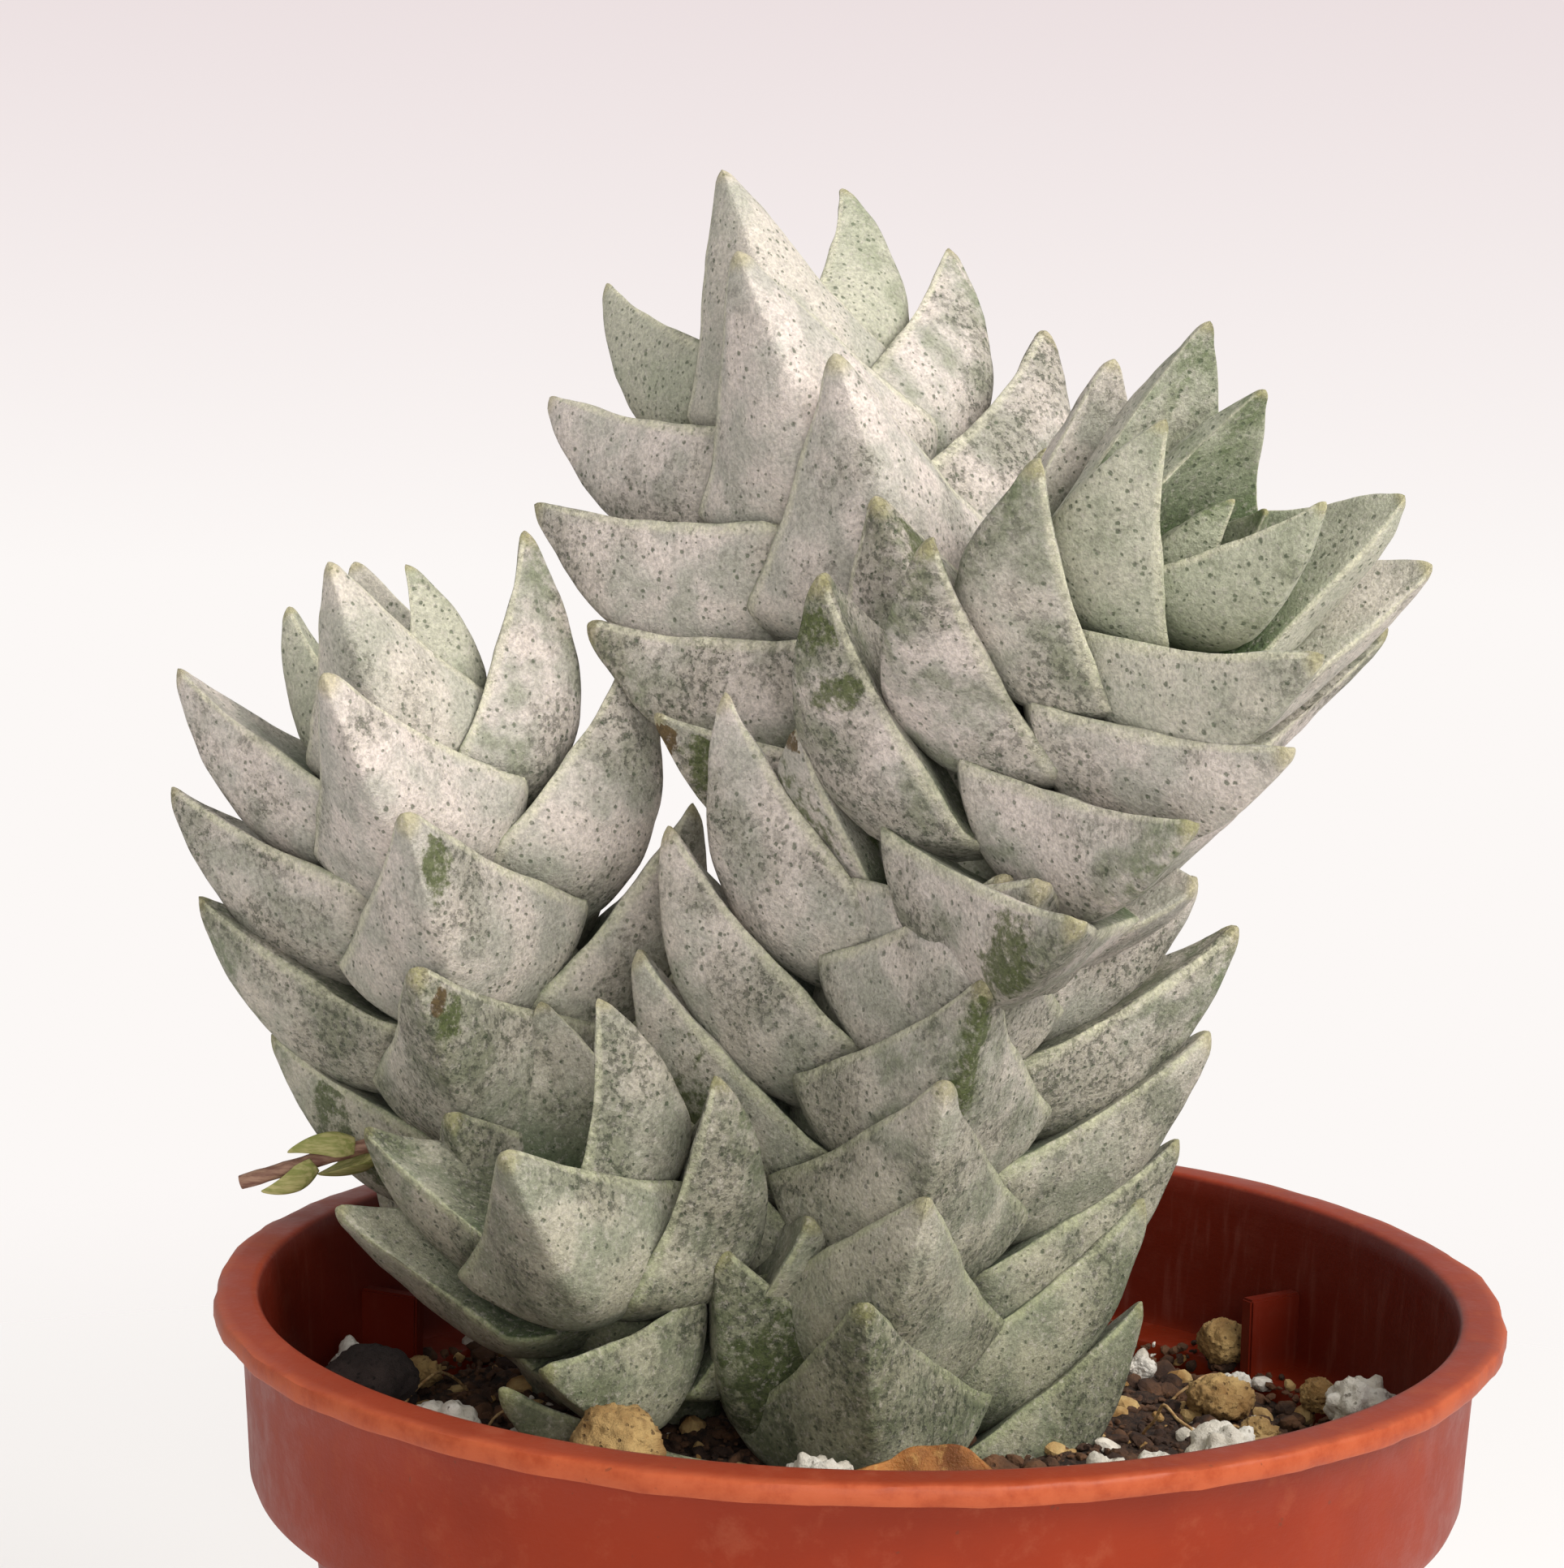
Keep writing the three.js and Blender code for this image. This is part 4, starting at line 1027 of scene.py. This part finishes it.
def drill_drain_holes(shell):
    """Cuts the ring of drain holes through the base, with the drills joined into one cutter."""
    shape = bmesh.new()
    for i in range(DRAIN_HOLES):
        a = 2 * math.pi * i / DRAIN_HOLES
        place = Matrix.Translation((math.cos(a) * DRAIN_RING * MM, math.sin(a) * DRAIN_RING * MM, 0))
        bmesh.ops.create_cone(shape, cap_ends=True, segments=40, radius1=DRAIN_RADIUS * MM,
                              radius2=DRAIN_RADIUS * MM, depth=8 * MM, matrix=place)
    mesh = bpy.data.meshes.new("drills")
    shape.to_mesh(mesh)
    shape.free()
    drills = bpy.data.objects.new("drills", mesh)
    bpy.context.scene.collection.objects.link(drills)
    cut = shell.modifiers.new("drain holes", "BOOLEAN")
    cut.operation = "DIFFERENCE"
    cut.solver = "EXACT"
    cut.object = drills
    drilled = as_plain_mesh(shell, "pot_shell")
    bpy.data.objects.remove(drills)
    return drilled


# %% [markdown]
# The plastic is terracotta orange with a satin surface. It has fine scratches, dull dust near the lip,
# faint water marks inside, where painted shade darkens the wall, and the raw edge of the lip is paler,
# partly as a painted glow of light through the thin plastic.

# %% The pot's plastic
TERRACOTTA, TERRACOTTA_DEEP = srgb(139, 44, 13), srgb(131, 40, 11)
# painted shade for the inner wall, and the colour of the water marks
PAINTED_INNER_SHADE, WATER_MARK = srgb(76, 18, 12), srgb(170, 120, 105)
# the raw edge colour is partly real and partly painted light, a glow through the thin lip
DUST, RAW_EDGE_AND_PAINTED_GLOW, GRIME = srgb(178, 104, 74), srgb(182, 90, 54), srgb(96, 52, 34)


def pot_material():
    material, n, shader, place = new_material("terracotta plastic", 0.48, Subsurface_Weight=0.03)
    shader.inputs["Subsurface Radius"].default_value = (1.0, 0.25, 0.1)
    shader.inputs["Subsurface Scale"].default_value = 0.6 * MM
    shader.inputs["Specular IOR Level"].default_value = 0.22
    radius, height = n.radius(place), n.parts(place)["Z"]
    mottle = group_node(n, MOTTLE, {"Place": place, "Scale": 0.16})
    colour = n.mix(n.between(mottle["Coarse"], 0.35, 0.7), TERRACOTTA, TERRACOTTA_DEEP)
    up_high = n.between(height, 46.0, LIP_HEIGHT)
    dust = n.times(n.between(mottle["Fine"], 0.5, 0.72), n.math("MULTIPLY_ADD", up_high, 0.16, 0.06))
    colour = n.mix(dust, colour, DUST)
    wall_place = n.vector("MULTIPLY", place, (0.8, 0.8, 0.1))
    runs = n.between(n.noise(wall_place, 1.4, 4.0, 0.6), 0.52, 0.74)
    # painted shade: the inner wall above the ledge is darkened, as little light falls inside the pot
    inside = n.times(n.between(radius, 30.35, 30.1), n.between(height, 46.0, 48.0))
    colour = n.mix(n.times(inside, 0.75), colour, PAINTED_INNER_SHADE)
    colour = n.mix(n.times(n.times(runs, inside), 0.1), colour, WATER_MARK)
    # partly real, partly painted light: the pale raw edge of the lip also stands in for light glowing
    # through it
    edge = n.times(n.attribute("flash"), n.between(mottle["Fine"], 0.3, 0.6, 0.35, 0.8))
    colour = n.mix(edge, colour, RAW_EDGE_AND_PAINTED_GLOW)
    specks = n.noise(place, 2.2, 2.0, 0.5)
    colour = n.mix(n.times(n.between(specks, 0.72, 0.78), 0.5), colour, GRIME)
    n.feed(shader.inputs["Base Color"], colour)
    n.feed(shader.inputs["Roughness"], n.between(mottle["Fine"], 0.3, 0.7, 0.36, 0.52))
    scratches = n.noise(n.vector("MULTIPLY", place, (0.5, 0.5, 4.0)), 1.5, 5.0, 0.7)
    bump(n, shader, n.math("MULTIPLY_ADD", scratches, 0.5, mottle["Grain"]), 0.35, 0.05)
    return material


PLASTIC = pot_material()


def build_pot():
    shell = drill_drain_holes(pot_shell(PLASTIC))
    lugs = [box_mesh("lug", LUG_SIZE, (LUG_REACH, 0, LEDGE + 1.9), math.radians(a), PLASTIC, 0.12)
            for a in LUG_ANGLES]
    pot = joined("pot_moulding", [shell] + lugs)
    shape = bmesh.new()
    shape.from_mesh(pot.data)
    for edge in shape.edges:
        if len(edge.link_faces) == 2:
            edge.smooth = edge.calc_face_angle() < SHARP_EDGE
    for face in shape.faces:
        face.smooth = True
    shape.to_mesh(pot.data)
    shape.free()
    fit(pot, "pot", "pot")


build_pot()

# %% [markdown]
# The potting mix is a dark peaty ground with crumbs of peat and grit all over it.
# The ground is one closed plug with a fine uneven top. Geometry Nodes scatter the crumbs on it.

# %% The ground
SOIL_RADIUS = 26.0
SOIL_CENTRE = LIP_HEIGHT - 8.4
SOIL_WALL = LIP_HEIGHT - 9.8
PLUG_FOOT, PLUG_UNDERSIDE = 20.0, 1.75


def soil_height(x, y):
    r = min(math.hypot(x, y) / SOIL_RADIUS, 1)
    waves = math.sin(x * 0.9 + 1.3) * math.sin(y * 1.1 + 0.4) + 0.6 * math.sin(x * 2.1 - y * 1.7)
    return SOIL_CENTRE + (SOIL_WALL - SOIL_CENTRE) * r * r + 0.2 * waves


def ground_height(x, y):
    """The mix rises onto the pot's inner ledge near the wall."""
    t = min(max((math.hypot(x, y) - SOIL_RADIUS + 1) / 2, 0), 1)
    rise = t * t * (3 - 2 * t)
    return soil_height(x, y) * (1 - rise) + (LEDGE + 0.3) * rise


def ground_material():
    material, n, shader, place = new_material("potting mix", 0.95)
    mottle = group_node(n, MOTTLE, {"Place": place, "Scale": 0.6})
    colour = n.mix(n.between(mottle["Fine"], 0.35, 0.7), srgb(38, 26, 20), srgb(92, 66, 48))
    colour = n.mix(n.between(mottle["Coarse"], 0.6, 0.75), colour, srgb(120, 92, 66))
    n.feed(shader.inputs["Base Color"], colour)
    bump(n, shader, n.plus(mottle["Fine"], mottle["Grain"]), 1.0, 0.25)
    return material


EARTH = ground_material()


def build_ground():
    rings, sectors = 90, 220
    vertices, faces = [(0, 0, soil_height(0, 0) * MM)], []
    for i in range(1, rings + 1):
        r = (SOIL_RADIUS - 0.05) * i / rings
        for j in range(sectors):
            a = 2 * math.pi * j / sectors
            x, y = r * math.cos(a), r * math.sin(a)
            crumb = math.sin(3.1 * x + 2 * math.sin(1.9 * y)) * math.sin(2.7 * y + 1.3 * math.sin(2.3 * x))
            top = soil_height(x, y) - 0.1 + 0.14 * crumb + 0.07 * vary(i * 7.3 + j)
            vertices.append((x * MM, y * MM, top * MM))
    for j in range(sectors):
        a = 2 * math.pi * j / sectors
        vertices.append((PLUG_FOOT * math.cos(a) * MM, PLUG_FOOT * math.sin(a) * MM, PLUG_UNDERSIDE * MM))
    vertices.append((0, 0, PLUG_UNDERSIDE * MM))
    for j in range(sectors):
        k = (j + 1) % sectors
        faces.append((0, 1 + j, 1 + k))
        for i in range(rings):
            a = 1 + i * sectors
            b = a + sectors
            faces.append((a + j, b + j, b + k, a + k))
        low = 1 + rings * sectors
        faces.append((low + k, low + j, len(vertices) - 1))
    fit(mesh_object("soil_ground", vertices, faces, EARTH), "soil", "soil")


build_ground()

# %% [markdown]
# Crumbs: points are scattered on a thin disc that follows the ground, and each gets a small ball
# of its own size and turn. After the copies are real, a noise makes every crumb different.

# %% Geometry nodes: crumbs on the ground


def crumbs_tree():
    inputs = {
        "Density": ("NodeSocketFloat", 0.5),
        "Smallest": ("NodeSocketFloat", 0.25),
        "Largest": ("NodeSocketFloat", 0.9),
        "Detail": ("NodeSocketInt", 2),
        "Seed": ("NodeSocketInt", 1),
        "Material": ("NodeSocketMaterial", None),
    }
    tree, n, given, out = tree_with_inputs("crumbs", inputs)
    spread = n.add("GeometryNodeDistributePointsOnFaces",
                   {"Mesh": given["Geometry"], "Density": given["Density"], "Seed": given["Seed"]})
    ball = n.add("GeometryNodeMeshIcoSphere", {"Radius": MM / 2, "Subdivisions": given["Detail"]}).outputs[0]
    flat = n.add("FunctionNodeRandomValue", {"Min": (0.6, 0.6, 0.4), "Max": (1.2, 1.0, 0.8), "Seed": 4},
                 data_type="FLOAT_VECTOR")
    size = n.add("FunctionNodeRandomValue", {2: 0.0, 3: 1.0, "Seed": 5}, data_type="FLOAT")
    small = n.math("POWER", size.outputs[1], 2.2)
    span = n.minus(given["Largest"], given["Smallest"])
    scale = n.scaled(flat.outputs[0], n.math("MULTIPLY_ADD", small, span, given["Smallest"]))
    turn = n.add("FunctionNodeRandomValue", {"Min": (-0.5, -0.5, 0), "Max": (0.5, 0.5, 6.283), "Seed": 6},
                 data_type="FLOAT_VECTOR")
    real = n.copies(spread.outputs[0], ball, Rotation=turn.outputs[0], Scale=scale)
    lumps = n.vector("SUBTRACT", n.noise(n.millimetres(), 1.7, 3.0, 0.6, colour=True), (0.5, 0.5, 0.5))
    n.feed(out.inputs[0], n.dressed(n.moved(real, n.scaled(lumps, 0.55 * MM)), given["Material"]))
    return tree


CRUMBS = crumbs_tree()


def crumb_material(name, dark, light):
    material, n, shader, place = new_material(name, 0.9)
    mottle = group_node(n, MOTTLE, {"Place": place, "Scale": 0.45})
    colour = n.mix(n.between(mottle["Coarse"], 0.35, 0.65), dark, light)
    colour = n.mix(n.times(n.between(mottle["Fine"], 0.5, 0.7), 0.4), colour, srgb(30, 20, 16))
    n.feed(shader.inputs["Base Color"], colour)
    bump(n, shader, mottle["Grain"], 0.8, 0.12)
    return material


def scatter_disc(inner, outer, rings=12, sectors=72):
    """A thin disc that follows the ground, only there to carry the scattered points."""
    vertices, faces = [], []
    for i in range(rings + 1):
        r = inner + (outer - inner) * i / rings
        for j in range(sectors):
            a = 2 * math.pi * j / sectors
            x, y = r * math.cos(a), r * math.sin(a)
            vertices.append((x * MM, y * MM, ground_height(x, y) * MM))
    for i in range(rings):
        for j in range(sectors):
            k = (j + 1) % sectors
            faces.append((i * sectors + j, (i + 1) * sectors + j, (i + 1) * sectors + k, i * sectors + k))
    return mesh_object("scatter_disc", vertices, faces)


def scatter(name, slot, inner, outer, per_mm2, smallest, largest, detail, seed, material):
    values = {"Density": per_mm2 / MM ** 2, "Smallest": smallest, "Largest": largest, "Detail": detail,
              "Seed": seed, "Material": material}
    crumbs = run_tree(name, scatter_disc(inner, outer), CRUMBS, values)
    fit(crumbs, slot)


PEAT = crumb_material("peat", srgb(52, 34, 24), srgb(104, 72, 48))
GRIT = crumb_material("ochre grit", srgb(150, 112, 62), srgb(206, 176, 120))
WHITE_GRIT = crumb_material("white grit", srgb(214, 206, 190), srgb(240, 234, 222))
scatter("peat_crumbs", "soil", 4, 27.6, 0.75, 0.35, 1.7, 2, 11, PEAT)
scatter("fine_crumbs", "soil", 6, 26.6, 1.8, 0.25, 0.8, 1, 12, PEAT)
scatter("ochre_grit", "pumice", 8, 27.2, 0.2, 0.4, 2.2, 2, 13, GRIT)
scatter("white_grit", "perlite", 8, 27.2, 0.1, 0.35, 1.7, 2, 14, WHITE_GRIT)

# %% [markdown]
# Perlite is white and puffed up, pumice is ochre and pitted, lava is nearly black and full of pores,
# and bark is a brown chip. One tree makes them all from a fine ball, with lumps and pits for each kind.

# %% Geometry nodes: stones


def stones_tree():
    inputs = {
        "Lump size": ("NodeSocketFloat", 0.5),
        "Lump height": ("NodeSocketFloat", 0.3),
        "Pit size": ("NodeSocketFloat", 2.0),
        "Pit depth": ("NodeSocketFloat", 0.1),
        "Material": ("NodeSocketMaterial", None),
    }
    tree, n, given, out = tree_with_inputs("stones", inputs)
    ball = n.add("GeometryNodeMeshIcoSphere", {"Radius": 0.5, "Subdivisions": 5}).outputs[0]
    real = n.copies(given["Geometry"], ball, Scale=named(n, "size", "FLOAT_VECTOR"))
    place = n.millimetres()
    cells = n.add("ShaderNodeTexVoronoi", {"Vector": place, "Scale": given["Lump size"], "Randomness": 1.0},
                  feature="SMOOTH_F1")
    round_off = n.math("POWER", cells.outputs["Distance"], 2.0)
    lumps = n.times(n.minus(0.28, round_off), given["Lump height"])
    rough = n.times(n.minus(n.noise(place, given["Pit size"], 5.0, 0.65), 0.62),
                   given["Pit depth"])
    push = n.times(n.plus(lumps, rough), MM)
    n.feed(out.inputs[0], n.dressed(n.moved(real, n.scaled(n.outward(), push)), given["Material"]))
    return tree


STONES = stones_tree()


def stone_material(name, light, dark, pore_shade, pore_size):
    material, n, shader, place = new_material(name, 0.92)
    mottle = group_node(n, MOTTLE, {"Place": place, "Scale": 0.5})
    colour = n.mix(n.between(mottle["Coarse"], 0.3, 0.7), light, dark)
    pores = n.add("ShaderNodeTexVoronoi", {"Vector": place, "Scale": 1 / pore_size}).outputs["Distance"]
    hole = n.times(n.between(pores, 0.28, 0.14), n.between(mottle["Fine"], 0.42, 0.6))
    # painted shade: the pits are darkened as if shadowed inside
    colour = n.mix(n.times(hole, 0.8), colour, pore_shade)
    colour = n.mix(n.times(n.between(mottle["Fine"], 0.5, 0.75), 0.5), colour, dark)
    n.feed(shader.inputs["Base Color"], colour)
    height = n.minus(n.math("MULTIPLY_ADD", mottle["Fine"], 0.7, mottle["Grain"]), hole)
    bump(n, shader, height, 0.9, 0.16)
    return material


# Light and dark colour, the painted shade in the pores, and the size of the pores in millimetres.
STONE_LOOKS = {
    "perlite": (srgb(240, 236, 226), srgb(206, 198, 182), srgb(150, 140, 122), 0.5),
    "pumice": (srgb(196, 164, 108), srgb(142, 108, 62), srgb(84, 60, 36), 0.4),
    "lava": (srgb(78, 66, 62), srgb(48, 40, 38), srgb(24, 20, 18), 0.5),
    "bark": (srgb(128, 88, 58), srgb(78, 52, 34), srgb(40, 26, 18), 0.5),
}
STONE_FORMS = {
    "perlite": {"Lump size": 1.2, "Lump height": 1.7, "Pit size": 2.2, "Pit depth": 0.8},
    "pumice": {"Lump size": 0.6, "Lump height": 0.8, "Pit size": 1.7, "Pit depth": 1.2},
    "lava": {"Lump size": 0.5, "Lump height": 1.0, "Pit size": 1.0, "Pit depth": 1.1},
    "bark": {"Lump size": 0.45, "Lump height": 0.8, "Pit size": 1.1, "Pit depth": 0.8},
}


def build_stones(kind):
    names = sorted(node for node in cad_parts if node.startswith(kind + "_"))
    boxes = [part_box(name) for name in names]
    centres = [(low + high) / 2 for low, high in boxes]
    points = mesh_object(kind + "_points", centres, [])
    point_attribute(points.data, "size", [high - low for low, high in boxes], "FLOAT_VECTOR")
    values = {**STONE_FORMS[kind], "Material": stone_material(kind, *STONE_LOOKS[kind])}
    stones = run_tree(kind + "_stones", points, STONES, values)
    shade_smooth(stones)
    fit(stones, kind, *names)


for kind in STONE_FORMS:
    build_stones(kind)

# %% [markdown]
# A dead leaf lies on the mix in front. It has dried to a thin orange-brown curl.
# A grid is bent by a formula and gets its thickness from Solidify.

# %% The dry leaf


def dry_leaf_material():
    material, n, shader, place = new_material("dry leaf", 0.6, Subsurface_Weight=0.1)
    shader.inputs["Subsurface Scale"].default_value = 0.5 * MM
    mottle = group_node(n, MOTTLE, {"Place": place, "Scale": 0.5})
    colour = n.mix(n.between(mottle["Coarse"], 0.35, 0.65), srgb(186, 124, 62), srgb(128, 76, 34))
    colour = n.mix(n.times(n.between(mottle["Fine"], 0.5, 0.7), 0.6), colour, srgb(214, 168, 98))
    n.feed(shader.inputs["Base Color"], colour)
    bump(n, shader, n.plus(mottle["Fine"], mottle["Grain"]), 0.8, 0.15)
    return material


def build_dry_leaf():
    length, width, tilt, turn = 6.8, 4.0, math.radians(30), math.radians(8)
    x0, y0, lift = 3.3, -12.6, 1.8
    columns, rows = 40, 22
    vertices, faces = [], []
    for i in range(columns + 1):
        for j in range(rows + 1):
            x = (i / columns - 0.5) * length
            share = x / (length / 2)
            y = (j / rows - 0.5) * width * (1 - 0.75 * share * share)
            wrinkle = 0.12 * math.sin(2.9 * x + 1.5 * y) + 0.08 * math.sin(5.1 * y + x)
            z = 0.16 * ((j / rows - 0.5) * width) ** 2 + 0.5 * math.sin(x * 0.9) + wrinkle
            y, z = y * math.cos(tilt) - z * math.sin(tilt), y * math.sin(tilt) + z * math.cos(tilt)
            x, y = x * math.cos(turn) - y * math.sin(turn), x * math.sin(turn) + y * math.cos(turn)
            vertices.append(((x + x0) * MM, (y + y0) * MM, (z + soil_height(x0, y0) + lift) * MM))
    for i in range(columns):
        for j in range(rows):
            a = i * (rows + 1) + j
            faces.append((a, a + rows + 1, a + rows + 2, a + 1))
    blade = mesh_object("dry_leaf_blade", vertices, faces, dry_leaf_material())
    thick = blade.modifiers.new("thickness", "SOLIDIFY")
    thick.thickness = 0.45 * MM
    thick.offset = 0
    leaf = as_plain_mesh(blade, "dry_leaf_curl")
    fit(leaf, "dry_leaf", "dry_leaf")


build_dry_leaf()

# %% [markdown]
# The flower stalk has dried and been cut. A brown rod comes out between two leaves,
# and three small yellow-green bracts still sit on it.

# %% The flower stalk
STALK_POINTS = [(-19, 9.5, 4.6), (-24, 8.6, 4.6), (-28, 8.2, 3.6), (-33, 8, 2)]
BRACTS = [(0.46, 250, 3.9), (0.56, 70, 3.6), (0.72, 300, 3.2)]


def stalk_material(name, pale, deep):
    material, n, shader, place = new_material(name, 0.7)
    grain = n.noise(n.vector("MULTIPLY", place, (0.4, 2.5, 2.5)), 1.6, 4.0, 0.6)
    n.feed(shader.inputs["Base Color"], n.mix(n.between(grain, 0.35, 0.65), pale, deep))
    bump(n, shader, grain, 0.7, 0.12)
    return material


def build_stalk():
    axis = Axis(STALK_POINTS)
    steps = np.linspace(0, axis.length, 30)
    radii = [0.42 * (0.95 + 0.05 * math.sin(i * 1.9)) for i in range(30)]
    wood = rod("stalk_rod", [axis.frame(d)[0] for d in steps], radii,
               stalk_material("dried stalk", srgb(158, 124, 102), srgb(112, 76, 62)), sides=5)
    leaf = unit_leaf()
    rows = []
    for share, azimuth, length in BRACTS:
        place, up, front, right = axis.frame(share * axis.length)
        a = math.radians(azimuth)
        out = front * math.cos(a) + right * math.sin(a)
        rows.append(dict(place=place * MM, out=out, across=np.cross(up, out), up=up, length=length * MM,
                         width=1.9 * MM, thickness=0.9 * MM, spread_base=math.radians(24),
                         spread_tip=math.radians(8), sway=0.0, chance=0.5))
    points = leaf_points("bract_points", rows)
    bract = stalk_material("bract", srgb(176, 168, 112), srgb(134, 138, 72))
    bracts = run_tree("bracts", points, stem_tree, {"Leaf": leaf, "Unevenness": 0.0, "Material": bract})
    bpy.data.objects.remove(leaf)
    shade_smooth(bracts)
    fit(joined("flower_stalk_dry", [wood, bracts]), "stalk", "flower_stalk")


build_stalk()

# %% [markdown]
# Fine tan roots lie on the mix. Each is a hair-thin rod that wanders a little and dips back into the ground
# at both ends.

# %% Roots on the mix
ROOTS = [
    ((-24.5, 0.5), (-20.5, 8.5), 2.4), ((-8.5, -13.2), (-4.4, -14.4), 1.1), ((14.8, 2.5), (18, -3.2), 2.6),
    ((19.5, -1.8), (22.5, 1.5), 1.6), ((-19, -2), (-15.5, 2), 1.8), ((16.5, -1), (21, 4.6), 1.4),
    ((-13, -18), (-7.5, -19.5), 0.9), ((10, -19), (16, -18), 1.0), ((17, 10), (22, 13), 1.3),
    ((-15, 17), (-9, 20), 1.2), ((3, 21), (8, 19), 1.1), ((-22, -10), (-17, -12.5), 1.2),
]


def build_roots():
    root = stalk_material("fine root", srgb(196, 166, 116), srgb(150, 112, 70))
    rods = []
    for number, (start, end, rise) in enumerate(ROOTS):
        points = []
        for i in range(17):
            t = i / 16
            arch = math.sin(math.pi * t)
            x = start[0] + (end[0] - start[0]) * t + 0.5 * math.sin(5 * t + number) * arch
            y = start[1] + (end[1] - start[1]) * t + 0.4 * math.sin(7 * t + 2 * number) * arch
            z = ground_height(x, y) - 0.15 + rise * arch ** 0.8
            points.append((x, y, z))
        rods.append(rod(f"root_{number}", points, [0.085] * 17, root, sides=1))
    fit(joined("fine_roots", rods), "soil")


build_roots()

# %% [markdown]
# The plant stands on a pale plain table in soft light. The floor is wide and white,
# the sky behind is a pale pinkish white, and two large soft lamps give the leaves their shape.

# %% Stage and light
FLOOR_HALF, FLOOR_DROP = 0.3, -0.0002
FLOOR_FADE = (75.0, 260.0)
PAPER = (0.93, 0.915, 0.905, 1.0)
SHEET_LOW, SHEET_HIGH = srgb(252, 248, 246), srgb(235, 223, 224)
DOME_COLOUR, DOME_STRENGTH = (1.0, 0.985, 0.97, 1.0), 0.54


def build_floor():
    """A white table. Away from the pot it fades out, so that no horizon shows behind the plant."""
    material, n, shader, place = new_material("pale paper", 0.9)
    shader.inputs["Base Color"].default_value = PAPER
    radius = n.radius(place)
    clear = n.add("ShaderNodeBsdfTransparent").outputs[0]
    shown = n.add("ShaderNodeMixShader", {0: n.between(radius, *FLOOR_FADE), 1: shader.outputs[0], 2: clear})
    n.feed(material.node_tree.nodes["Material Output"].inputs["Surface"], shown.outputs[0])
    corners = [(x * FLOOR_HALF, y * FLOOR_HALF, FLOOR_DROP) for x, y in ((-1, -1), (1, -1), (1, 1), (-1, 1))]
    mesh_object("floor", corners, [(0, 1, 2, 3)], material, smooth=False)


def area_lamp(name, place, target, size, power, colour):
    data = bpy.data.lights.new(name, "AREA")
    data.shape = "DISK"
    data.size = size
    data.energy = power
    data.color = colour
    lamp = bpy.data.objects.new(name, data)
    bpy.context.scene.collection.objects.link(lamp)
    lamp.location = place
    lamp.rotation_euler = (Vector(target) - Vector(place)).to_track_quat("-Z", "Y").to_euler()


def build_world():
    """The camera sees a pale sheet, pinker towards the top. A plain white dome lights the plant."""
    world = bpy.data.worlds.new("pale sky")
    bpy.context.scene.world = world
    world.use_nodes = True
    n = Nodes(world.node_tree)
    sheet = world.node_tree.nodes["Background"]
    height = n.parts(n.add("ShaderNodeTexCoord").outputs["Generated"])["Z"]
    rise = n.add("ShaderNodeMapRange", {"Value": height, "From Min": -0.07, "From Max": 0.1}).outputs[0]
    n.feed(sheet.inputs["Color"], n.mix(rise, SHEET_LOW, SHEET_HIGH))
    dome = n.add("ShaderNodeBackground", {"Color": DOME_COLOUR, "Strength": DOME_STRENGTH})
    seen = n.add("ShaderNodeLightPath").outputs["Is Camera Ray"]
    mixed = n.add("ShaderNodeMixShader", {0: seen, 1: dome.outputs[0], 2: sheet.outputs[0]})
    n.feed(world.node_tree.nodes["World Output"].inputs["Surface"], mixed.outputs[0])


bpy.context.scene.view_settings.view_transform = "Standard"
build_floor()
build_world()
area_lamp("key lamp", (0.42, -0.28, 0.52), (0, 0, 0.08), 0.4, 4.3, (1.0, 0.97, 0.94))
area_lamp("front lamp", (0.12, -0.78, 0.22), (0, 0, 0.07), 0.5, 3.0, (1.0, 0.98, 0.96))
print("stage, sky and lamps ready")

# %% Finish
total = sum(triangles(piece) for piece in pieces)
print("triangles in all:", total)
